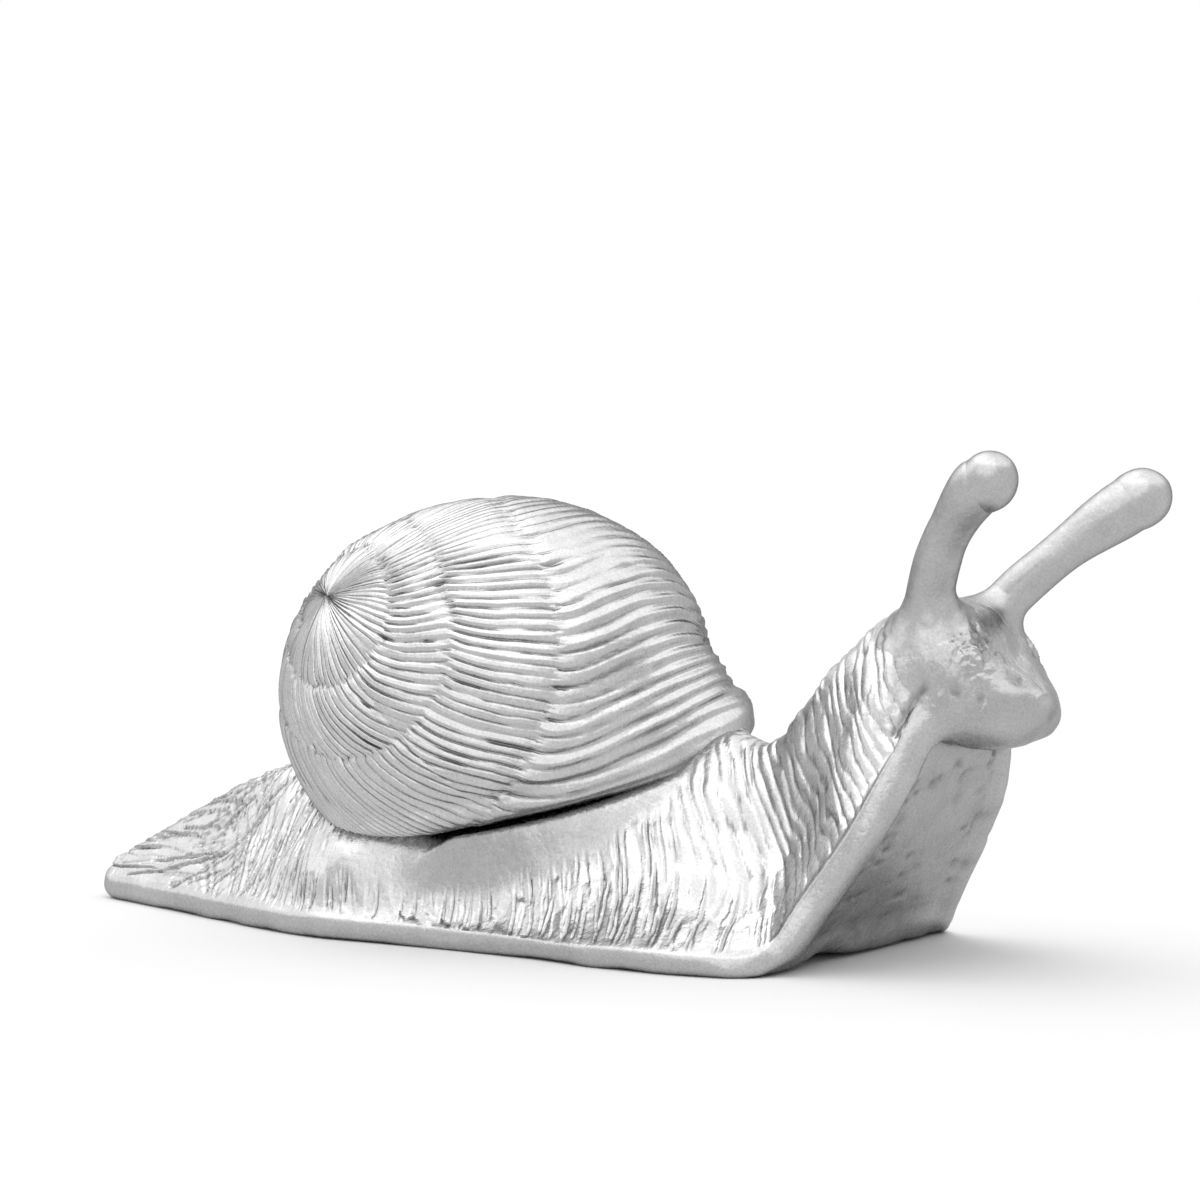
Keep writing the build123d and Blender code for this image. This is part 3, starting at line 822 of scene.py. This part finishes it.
def foot_sections():
    """Near half of each section, and of each the rim's half width and height and the turn to a head."""
    rim_line = FOOT_STATIONS[:, [0, 2]]
    back_line = FOOT_STATIONS[:, [3, 4]]
    step = sum(np.linalg.norm(np.diff(line, axis=0), axis=1) for line in (rim_line, back_line))
    step = 0.5 * step + 0.25 * np.abs(np.diff(FOOT_STATIONS[:, 1]))
    knots = added_up(step)
    wanted = np.linspace(0.0, knots[-1], FOOT_RINGS)
    values = [flowing(knots, column, wanted) for column in FOOT_STATIONS.T]
    rim_x, rim_y, rim_z, back_x, back_z, out, up, head = values
    rim_radius = RIM_RADIUS + FRONT_RIM_EXTRA * smooth(1.0, 9.0, rim_z)
    steep = FLANK_STEEP * smooth(-16.0, 4.0, back_x) * fade(44.0, 58.0, back_x)
    rings = []
    for ring in range(FOOT_RINGS):
        middle = np.array([rim_x[ring], 0.0, rim_z[ring]])
        rise = np.array([back_x[ring], 0.0, back_z[ring]]) - middle
        height = np.linalg.norm(rise)
        shape = (out[ring], up[ring], head[ring], rim_radius[ring], steep[ring])
        half = half_section(rim_y[ring], height, *shape)
        rings.append(middle + np.outer(half[:, 0], -SIDEWAYS) + np.outer(half[:, 1], rise / height))
    return np.array(rings), rim_y, rim_z, head


def flank_carving(near, head, clear):
    """Relief and cuts of both flanks, laid out on each side unrolled: along the rim, and up the flank."""
    run = added_up(np.linalg.norm(np.diff(near[:, FLANK_START], axis=0), axis=-1))
    stroke_length = run[-1] - STROKE_END
    up_step = np.linalg.norm(np.diff(near, axis=1), axis=-1)
    climb = np.concatenate([np.zeros((FOOT_RINGS, 1)), np.cumsum(up_step, axis=1)], axis=1)
    across = climb - climb[:, FLANK_START : FLANK_START + 1]
    run = np.broadcast_to(run[:, None], across.shape)
    tail = fade(*TAIL_END_RUN, run)
    plain_head = fade(0.25, 0.8, head[:, None])
    neckward = smooth(NECK_RUN - 8.0, NECK_RUN + 8.0, run + 0.9 * across - 14.0)
    from_sole = np.arange(near.shape[1])
    reliefs, cuts = [], []
    for seed, ring in ((21, from_sole), (22, -from_sole)):
        lines, line_cut = carve(run, across, skin_strokes(seed, stroke_length))
        lane = run / FLANK_LAND_WIDTH + LANE_WANDER * ripple(seed + 30, across * 0.25, run * 0.1)
        tail_lane = across / TAIL_LAND_WIDTH + LANE_WANDER * ripple(seed + 31, run * 0.2, across * 0.1)
        lane = lane * (1.0 - tail) + tail * tail_lane
        number = np.floor(lane)
        along = across * (1.0 - tail) + run * tail
        reach = np.floor(along / LAND_LENGTH + 4.0 * scatter(seed + 35, number, number * 0))
        flat = scatter(seed + 36, number, reach) - 0.5
        slope = (lane - number - 0.5) * (scatter(seed + 37, number, reach) - 0.5)
        ridges = FLANK_STEP * flat + FLANK_TILT * slope
        lands, land_cut = neck_lands(run, across, seed)
        lines = lines * (1.0 - neckward)
        ridges = ridges * (1.0 - neckward) + lands * neckward
        line_cut = np.maximum(line_cut * (1.0 - neckward), land_cut * neckward)
        lumps = LUMP_HEIGHT * ripple(seed + 33, run * 0.16, across * 0.2)
        on_flank = smooth(0.4, 1.3, across + 0.9 * ripple(seed + 34, run * 0.35, run * 0.0))
        on_flank = on_flank * clear[:, ring]
        reliefs.append((lines + ridges) * on_flank * plain_head + lumps)
        cuts.append(line_cut * on_flank * plain_head)
    return [np.concatenate([one, other[:, -2:0:-1]], axis=1) for one, other in (reliefs, cuts)]


def hollow_front(base, sole, rim_y, rim_z, head, relief, cut):
    """Relief and cuts with the raised front hollowed and pitted between its edges, and its painted shade."""
    _, base_y, base_z = np.moveaxis(base, -1, 0)
    raised = sole * (smooth(1.0, 6.0, rim_z) * fade(0.5, 1.0, head))[:, None]
    width_here = np.abs(base_y) / np.maximum(rim_y[:, None], 1e-3)
    dish = raised * fade(0.72, 0.95, width_here)
    relief = relief - DISH_DEPTH * dish
    rng = np.random.default_rng(51)
    for _ in range(FRONT_PITS):
        pit_y = rng.uniform(-20.0, 20.0)
        pit_z = rng.uniform(3.0, 34.0)
        size = rng.uniform(0.4, 1.0)
        gap = np.sqrt((base_y - pit_y) ** 2 + (base_z - pit_z) ** 2)
        pit = bell(gap, size) * dish
        relief = relief - FRONT_PIT_DEPTH * pit
        cut = np.maximum(cut, 0.8 * pit)
    # Painted shade: the hollow of the raised front, and the raised front towards its far side, are darkened
    return relief, cut, np.maximum(dish, raised * smooth(4.0, 10.0, base_y))


def from_dome(points, semi):
    """How far points are from the middle of the shell, as a share of a dome with these half sizes."""
    return np.sqrt((((points - SHELL_CENTRE) / semi) ** 2).sum(axis=-1))


def fit_under_lip(shown, normal, flank, sole):
    """Keeps the back below the lip, raises it to the lip in a cove, and arches the front of the sole."""
    x, y, z = np.moveaxis(shown, -1, 0)
    inside = from_dome(shown, SHELL_SEMI + LIP_OVERHANG)
    lip_level = lip_plane(x, y)
    under_shell = fade(0.94, 1.02, inside) * smooth(*UNDER_SHELL_X, x)
    z -= under_shell * np.maximum(0.0, z - lip_level + 0.3)
    filled = flank * fade(0.985, 1.12, inside) * smooth(*COVE_START_X, x)
    z += filled * np.clip(lip_level - 0.2 - z, 0.0, COVE_FILL)
    saddle = SADDLE_HEIGHT * bell(x - SADDLE_X, SADDLE_LENGTH) * bell(y - SADDLE_Y, SADDLE_WIDTH)
    z += saddle * smooth(0.3, 0.7, normal[..., 2])
    arch = ARCH_HEIGHT * bell(y - ARCH_Y, ARCH_WIDTH) * smooth(66.0, 75.0, x) * fade(2.0, 9.0, z)
    z[:] = np.maximum(z, SOLE_Z) + arch * sole


def build_foot():
    """The foot, neck and head in one skin, with its rolled rim, carved flanks and hollow raised front."""
    near, rim_y, rim_z, head = foot_sections()

    # One closed ring runs over the near side to the back and down the far side
    base = np.concatenate([near, near[:, -2:0:-1] * MIRROR], axis=1)
    base_x, base_y, _ = np.moveaxis(base, -1, 0)
    columns = base.shape[1]
    sole, on_rim, flank = np.zeros((3, *base.shape[:2]))
    sole[:, np.arange(1 - SOLE_POINTS, SOLE_POINTS)] = 1.0
    on_rim[:, SOLE_POINTS : FLANK_START + 3] = 1.0
    on_rim[:, columns - FLANK_START - 2 : columns - SOLE_POINTS + 1] = 1.0
    flank[:, FLANK_START + 2 : columns - FLANK_START - 1] = 1.0
    normal = grid_normals(base)
    centre = base.mean(axis=1, keepdims=True)
    facing = np.sign(np.sum(normal * (base - centre), axis=-1).mean())
    normal = normal * facing

    # The carving stops short of the shell, further from it along the cove
    cove = COVE_REACH * fade(*COVE_END_X, base_x)
    clear = from_dome(base, SHELL_SEMI) - cove + 0.04 * ripple(29, base_x * 0.3, base_y * 0.3)
    clear = np.maximum(smooth(*CLEAR_OF_SHELL, clear), fade(*CARVED_TAIL_X, base_x))
    relief, cut = flank_carving(near, head, clear)
    relief, cut, front_painted_shade = hollow_front(base, sole, rim_y, rim_z, head, relief, cut)
    mark_relief, mark_cut = head_marks(base)
    cut = np.maximum(cut, mark_cut)
    shown = base + normal * (relief + mark_relief)[..., None]
    fit_under_lip(shown, normal, flank, sole)

    # Painted shade darkens the front, head, rim and the cove under the shell, and painted light brightens
    # the neck
    headward = head[:, None]
    painted_light_and_shade = np.maximum(np.maximum(front_painted_shade, HEAD_PAINTED_SHADE * headward), RIM_PAINTED_SHADE * on_rim)
    on_neck = flank * smooth(*NECK_FROM_X, base_x) * fade(0.1, 0.6, headward)
    in_cove = flank * (1.0 - clear) * smooth(0.0, 12.0, base_x)
    painted_light_and_shade = painted_light_and_shade - NECK_PAINTED_LIGHT * on_neck + COVE_PAINTED_SHADE * in_cove

    tail_index = FOOT_RINGS * columns
    seat_points, seat_faces = shell_seat(tail_index + 2)
    tail_tip = shown[0].mean(axis=0) - TIP_BULGE
    snout_tip = shown[-1].mean(axis=0) + TIP_BULGE
    points = np.vstack([shown.reshape(-1, 3), tail_tip[None, :], snout_tip[None, :], seat_points])
    spare = np.zeros(2 + len(seat_points))
    skin = {
        "cut": np.concatenate([cut.ravel(), spare]),
        "painted_light_and_shade": np.concatenate([painted_light_and_shade.ravel(), spare]),
    }
    faces = grid_faces(FOOT_RINGS, columns) + seat_faces
    faces += fan(tail_index, 0, columns, False) + fan(tail_index + 1, tail_index - columns, columns, True)
    on_head = shown[..., 0] > HEAD_FROM_X
    skyward = grid_normals(shown) * facing
    return make_mesh("foot_carved", points, faces, skin), height_over(shown[on_head], skyward[on_head])


def height_over(places, ways):
    """A function for the height of points over the skin through these places, whose normals are given."""
    tree = KDTree(len(places))
    for index, place in enumerate(places):
        tree.insert(place, index)
    tree.balance()

    def height(points):
        flat = points.reshape(-1, 3)
        nearest = [tree.find(point)[1] for point in flat]
        over = np.sum((flat - places[nearest]) * ways[nearest], axis=-1)
        return over.reshape(points.shape[:-1])

    return height


def stalk_frame(stalk):
    """Bowed middle line of a stalk with its tangent as a function, and the way its eye faces."""
    root, eye, bow = stalk["root"], stalk["eye"], stalk["bow"]
    eye_way = unit(eye - root - 4.0 * bow)
    tip = eye - eye_way * STALK_SHORT - stalk["beside"]

    def place(share):
        share = np.asarray(share)[:, None]
        line = root + (tip - root) * share + bow * (4.0 * share * (1.0 - share))
        return line, unit(tip - root + bow * (4.0 * (1.0 - 2.0 * share)))

    return place, eye_way, np.linalg.norm(tip - root)


def build_stalk(name, stalk, seed, over_head):
    """A bowed stalk that runs out softly on the head and thickens to hold its eye."""
    place, _, length = stalk_frame(stalk)
    low_part, high_part = np.linspace(-0.30, 0.45, 80), np.linspace(0.46, 1.0, 44)
    share = np.concatenate([low_part, high_part, np.ones(STALK_END_ROWS)])
    line, tangent = place(share)
    over = unit(np.cross(tangent, SIDEWAYS))
    side = np.cross(tangent, over)
    girth, ball = stalk["girth"], stalk["ball"]
    radius = girth + stalk["taper"] * (1.0 - np.clip(share, 0.0, 1.0))
    radius = radius + (ball * stalk["holds"] - girth) * smooth(*stalk["swell"], share)
    round_end = np.radians(np.linspace(5.0, 80.0, STALK_END_ROWS))
    line[-STALK_END_ROWS:] += tangent[-1] * (radius[-1] * np.sin(round_end))[:, None]
    radius[-STALK_END_ROWS:] *= np.cos(round_end)
    angle = round_angles(STALK_POINTS)
    lumps = 0.10 * ripple(seed, share[:, None] * 7.0, np.cos(angle)[None, :] * 1.5 + 4.0)
    reach = radius[:, None] + lumps
    cosine, sine = np.cos(angle)[None, :, None], np.sin(angle)[None, :, None]
    ring = cosine * over[:, None, :] + sine * side[:, None, :]

    # The fillet is as far from the stalk as a ball's edge that touches the head and the stalk
    fillet = stalk["fillet"]
    low_rows = share * length < fillet + 9.0
    wall = line[low_rows, None, :] + reach[low_rows][..., None] * ring[low_rows]
    near = np.zeros(wall.shape[:2])
    far = np.full(wall.shape[:2], fillet)
    for _ in range(16):
        middle = 0.5 * (near + far)
        gap = np.clip(over_head(wall + middle[..., None] * ring[low_rows]), 0.0, fillet)
        wanted = fillet - np.sqrt(np.maximum(fillet**2 - (fillet - gap) ** 2, 0.0))
        near = np.where(middle < wanted, middle, near)
        far = np.where(middle < wanted, far, middle)
    reach[low_rows] += 0.5 * (near + far)
    grid = line[:, None, :] + reach[..., None] * ring
    rows = len(share)
    faces = [face[::-1] for face in grid_faces(rows, STALK_POINTS)]
    faces.append(list(range(STALK_POINTS)))
    faces.append([(rows - 1) * STALK_POINTS + column for column in range(STALK_POINTS)][::-1])
    return make_mesh(name, grid.reshape(-1, 3), faces, {})


def build_eye(name, stalk, seed):
    """An egg-shaped eye seated in the end of its stalk."""
    _, eye_way, _ = stalk_frame(stalk)
    rows = EYE_ROWS - 2
    polar = np.linspace(0.0, math.pi, EYE_ROWS)[1:-1]
    angle = round_angles(EYE_POINTS)
    over = unit(np.cross(eye_way, SIDEWAYS))
    side = np.cross(eye_way, over)
    ball = stalk["ball"]
    half = EYE_STRETCH * ball
    ring = np.cos(angle)[None, :, None] * over + np.sin(angle)[None, :, None] * side
    egg = ball * np.sin(polar)[:, None, None] * ring + half * np.cos(polar)[:, None, None] * eye_way
    lumps = 0.06 * ripple(seed, polar[:, None] * 2.0, np.cos(angle)[None, :] + 3.0)
    grid = stalk["eye"] + egg * (1.0 + lumps[..., None] / ball)
    front = stalk["eye"] + half * eye_way
    back = stalk["eye"] - half * eye_way
    points = np.vstack([grid.reshape(-1, 3), front[None, :], back[None, :]])
    top = rows * EYE_POINTS
    faces = grid_faces(rows, EYE_POINTS)
    faces += fan(top, 0, EYE_POINTS, False) + fan(top + 1, top - EYE_POINTS, EYE_POINTS, True)
    return make_mesh(name, points, faces, {})


def fill(node, values):
    """Sets inputs of a node by their labels."""
    for label, value in values.items():
        node.inputs[label].default_value = value


def new_material(name):
    """A new node material, with its tree and its shader."""
    material = bpy.data.materials.new(name)
    material.use_nodes = True
    return material, material.node_tree, material.node_tree.nodes["Principled BSDF"]


def number_on_points(tree, label):
    """A number that the mesh carries on its points."""
    reader = tree.nodes.new("ShaderNodeAttribute")
    reader.attribute_name = label
    return reader.outputs["Fac"]


def worked_out(tree, operation, first, second):
    """One step of arithmetic on sockets or plain numbers."""
    step = tree.nodes.new("ShaderNodeMath")
    step.operation = operation
    for place, value in enumerate((first, second)):
        if isinstance(value, (int, float)):
            step.inputs[place].default_value = value
        else:
            tree.links.new(value, step.inputs[place])
    return step.outputs["Value"]


def noise(tree, scale, detail):
    """Soft cloudy noise over a piece."""
    cloud = tree.nodes.new("ShaderNodeTexNoise")
    fill(cloud, {"Scale": scale, "Detail": detail})
    place = tree.nodes.new("ShaderNodeTexCoord")
    tree.links.new(place.outputs["Object"], cloud.inputs["Vector"])
    return cloud.outputs["Fac"]


def ranged(tree, value, source, target):
    """A number moved from one range to another."""
    ramp = tree.nodes.new("ShaderNodeMapRange")
    fill(ramp, {"From Min": source[0], "From Max": source[1], "To Min": target[0], "To Max": target[1]})
    tree.links.new(value, ramp.inputs["Value"])
    return ramp.outputs["Result"]


def paint_grey(tree, shader, value):
    """Gives the shader a grey colour of this value."""
    colour = tree.nodes.new("ShaderNodeCombineColor")
    for channel in ("Red", "Green", "Blue"):
        tree.links.new(value, colour.inputs[channel])
    tree.links.new(colour.outputs["Color"], shader.inputs["Base Color"])


def bumped(tree, height, strength, distance):
    """A bump from a height, to a depth in metres."""
    bump = tree.nodes.new("ShaderNodeBump")
    fill(bump, {"Strength": strength, "Distance": distance})
    tree.links.new(height, bump.inputs["Height"])
    return bump


def silver(name, tone, roughness, grain, edge):
    """Satin silver, a little uneven in tone and shine, with painted shade in the cuts and painted shade and
    light by place.
    """
    material, tree, shader = new_material(name)
    fill(shader, {"Metallic": 1.0, "Specular Tint": (edge, edge, edge, 1.0)})
    cloud = noise(tree, CLOUD_SCALE, 4.0)
    fine = noise(tree, GRAIN_SCALE, 5.0)
    speck = noise(tree, SPECK_SCALE, 2.0)
    toned = ranged(tree, cloud, NOISE_RANGE, (tone * 0.94, tone * 1.05))
    # Painted shade in the cuts, and painted shade and light by place
    for label, shade in (("cut", CUT_PAINTED_SHADE), ("painted_light_and_shade", PAINTED_SHADE_STRENGTH)):
        darker = worked_out(tree, "MULTIPLY", number_on_points(tree, label), -shade)
        toned = worked_out(tree, "MULTIPLY", toned, worked_out(tree, "ADD", darker, 1.0))
    toned = worked_out(tree, "MULTIPLY", toned, ranged(tree, speck, NOISE_RANGE, (0.90, 1.09)))
    paint_grey(tree, shader, toned)
    shine = ranged(tree, fine, NOISE_RANGE, (roughness - 0.06, roughness + 0.08))
    tree.links.new(shine, shader.inputs["Roughness"])

    # Fine lines that follow the ribs, where the piece has them, over the grain
    strand = worked_out(tree, "MULTIPLY", number_on_points(tree, "rib"), STRANDS_PER_RIB)
    strand = worked_out(tree, "ADD", strand, worked_out(tree, "MULTIPLY", cloud, STRAND_STRAY))
    strand = worked_out(tree, "SINE", worked_out(tree, "MULTIPLY", strand, TURN), 0.0)
    strand = worked_out(tree, "MULTIPLY", strand, number_on_points(tree, "ribbed"))
    under = bumped(tree, fine, grain, GRAIN_DEPTH)
    lines = bumped(tree, strand, STRAND_STRENGTH, STRAND_DEPTH)
    tree.links.new(under.outputs["Normal"], lines.inputs["Normal"])
    tree.links.new(lines.outputs["Normal"], shader.inputs["Normal"])
    return material


def plain_material(name, tone, metallic, roughness, scale):
    """A hidden or underside finish with a fine grain."""
    material, tree, shader = new_material(name)
    fill(shader, {"Metallic": metallic, "Roughness": roughness})
    paint_grey(tree, shader, ranged(tree, noise(tree, scale, 2.0), (0.0, 1.0), (tone * 0.8, tone * 1.2)))
    return material


# Noise in bumps to a metre, how much painted shade the cuts and the painted shade by place take off the
# tone, and bump depths in metres
CLOUD_SCALE = 220.0
GRAIN_SCALE = 900.0
SPECK_SCALE = 2600.0
NOISE_RANGE = (0.3, 0.7)
CUT_PAINTED_SHADE = 0.58
PAINTED_SHADE_STRENGTH = 0.18
GRAIN_DEPTH = 0.0002
STRANDS_PER_RIB = 3.0
STRAND_STRAY = 1.2
STRAND_STRENGTH = 0.05
STRAND_DEPTH = 0.00014

# Silver by piece: tone, roughness, grain and brightness at the edges
foot_silver = silver("foot_silver", 0.50, 0.27, 0.55, 0.62)
shell_silver = silver("shell_silver", 0.50, 0.26, 0.40, 0.32)
stalk_silver = silver("stalk_silver", 0.43, 0.36, 0.45, 0.32)
eye_silver = silver("eye_silver", 0.44, 0.30, 0.20, 0.36)
steel = plain_material("drawn_steel", 0.6, 1.0, 0.35, 600.0)
felt = plain_material("pressed_felt", 0.16, 0.0, 0.95, 1500.0)

foot, over_head = build_foot()
shell = build_shell()
right_stalk = build_stalk("right_stalk", STALKS["right"], 61, over_head)
left_stalk = build_stalk("left_stalk", STALKS["left"], 62, over_head)
dressed = [
    (foot, "foot_body", "foot_silver", foot_silver),
    (shell, "shell", "shell_silver", shell_silver),
    (right_stalk, "right_eye_stalk", "stalk_silver", stalk_silver),
    (left_stalk, "left_eye_stalk", "stalk_silver", stalk_silver),
    (build_eye("right_ball", STALKS["right"], 63), "right_eye", "eye_silver", eye_silver),
    (build_eye("left_ball", STALKS["left"], 64), "left_eye", "eye_silver", eye_silver),
]
for piece, node, slot, material in dressed:
    piece.data.materials.append(material)
    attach(piece, "root")
    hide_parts(node)

for node, material in (
    ("shell_dowels", steel),
    ("right_stalk_wire", steel),
    ("left_stalk_wire", steel),
    ("sole_pads", felt),
):
    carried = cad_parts[node]
    carried.data.materials.clear()
    carried.data.materials.append(material)

# Floor
floor_mesh = bpy.data.meshes.new("floor")
FLOOR_REACH = 20.0
corners = [(-FLOOR_REACH, -FLOOR_REACH, 0.0), (FLOOR_REACH, -FLOOR_REACH, 0.0)]
corners += [(FLOOR_REACH, FLOOR_REACH, 0.0), (-FLOOR_REACH, FLOOR_REACH, 0.0)]
floor_mesh.from_pydata(corners, [], [(0, 1, 2, 3)])
floor = place_object("floor", floor_mesh)
floor_material, _, floor_shader = new_material("pale_floor")
fill(floor_shader, {"Base Color": (0.99, 0.99, 0.99, 1.0), "Roughness": 0.9, "Specular IOR Level": 0.0})
floor.data.materials.append(floor_material)

# World: even soft light, and white where the camera or a reflection looks past the floor
SOFT_LIGHT = 0.25
WHITE_LIGHT = 1.0
world = bpy.data.worlds.new("studio")
bpy.context.scene.world = world
world.use_nodes = True
sky = world.node_tree
sky.nodes.clear()
world_out = sky.nodes.new("ShaderNodeOutputWorld")
rays = sky.nodes.new("ShaderNodeLightPath").outputs
seen = worked_out(sky, "MAXIMUM", rays["Is Camera Ray"], rays["Is Glossy Ray"])
seen = worked_out(sky, "MAXIMUM", seen, rays["Is Transmission Ray"])
mix = sky.nodes.new("ShaderNodeMixShader")
sky.links.new(seen, mix.inputs["Fac"])
for place, strength in ((1, SOFT_LIGHT), (2, WHITE_LIGHT)):
    light = sky.nodes.new("ShaderNodeBackground")
    fill(light, {"Color": (1.0, 1.0, 1.0, 1.0), "Strength": strength})
    sky.links.new(light.outputs["Background"], mix.inputs[place])
sky.links.new(mix.outputs["Shader"], world_out.inputs["Surface"])

# Broad soft lamps: name, energy, angle across in degrees and the way the light comes from
LAMPS = (
    ("soft_top", 1.45, 95.0, (0.0, 0.30, 0.95)),
    ("soft_left", 0.8, 70.0, (-0.72, 0.10, 0.68)),
    ("soft_front", 0.72, 70.0, (0.10, -0.66, 0.75)),
)
for lamp_name, energy, across, comes_from in LAMPS:
    lamp = bpy.data.lights.new(lamp_name, "SUN")
    lamp.energy = energy
    lamp.angle = math.radians(across)
    lamp_object = place_object(lamp_name, lamp)
    lamp_object.rotation_euler = Vector(comes_from).to_track_quat("Z", "Y").to_euler()

# Camera at the photograph's angle
CAMERA_AZIMUTH = math.radians(31.0)
CAMERA_CLIMB = math.radians(3.78)
CAMERA_DISTANCE = 0.8
CAMERA_LENS = 145.2
SENSOR_WIDTH = 36.0
CAMERA_TARGET = Vector((0.0264, 0.0, 0.0555))
backward = Vector(
    (
        math.sin(CAMERA_AZIMUTH) * math.cos(CAMERA_CLIMB),
        -math.cos(CAMERA_AZIMUTH) * math.cos(CAMERA_CLIMB),
        math.sin(CAMERA_CLIMB),
    )
)
camera_data = bpy.data.cameras.new("camera")
camera_data.sensor_width = SENSOR_WIDTH
camera_data.lens = CAMERA_LENS
camera_data.clip_start = 0.05
camera_data.clip_end = 60.0
camera = place_object("camera", camera_data)
turned = backward.to_track_quat("Z", "Y").to_matrix().to_4x4()
camera.matrix_world = Matrix.Translation(CAMERA_TARGET + backward * CAMERA_DISTANCE) @ turned
bpy.context.scene.camera = camera
bpy.context.scene.view_settings.view_transform = "Standard"
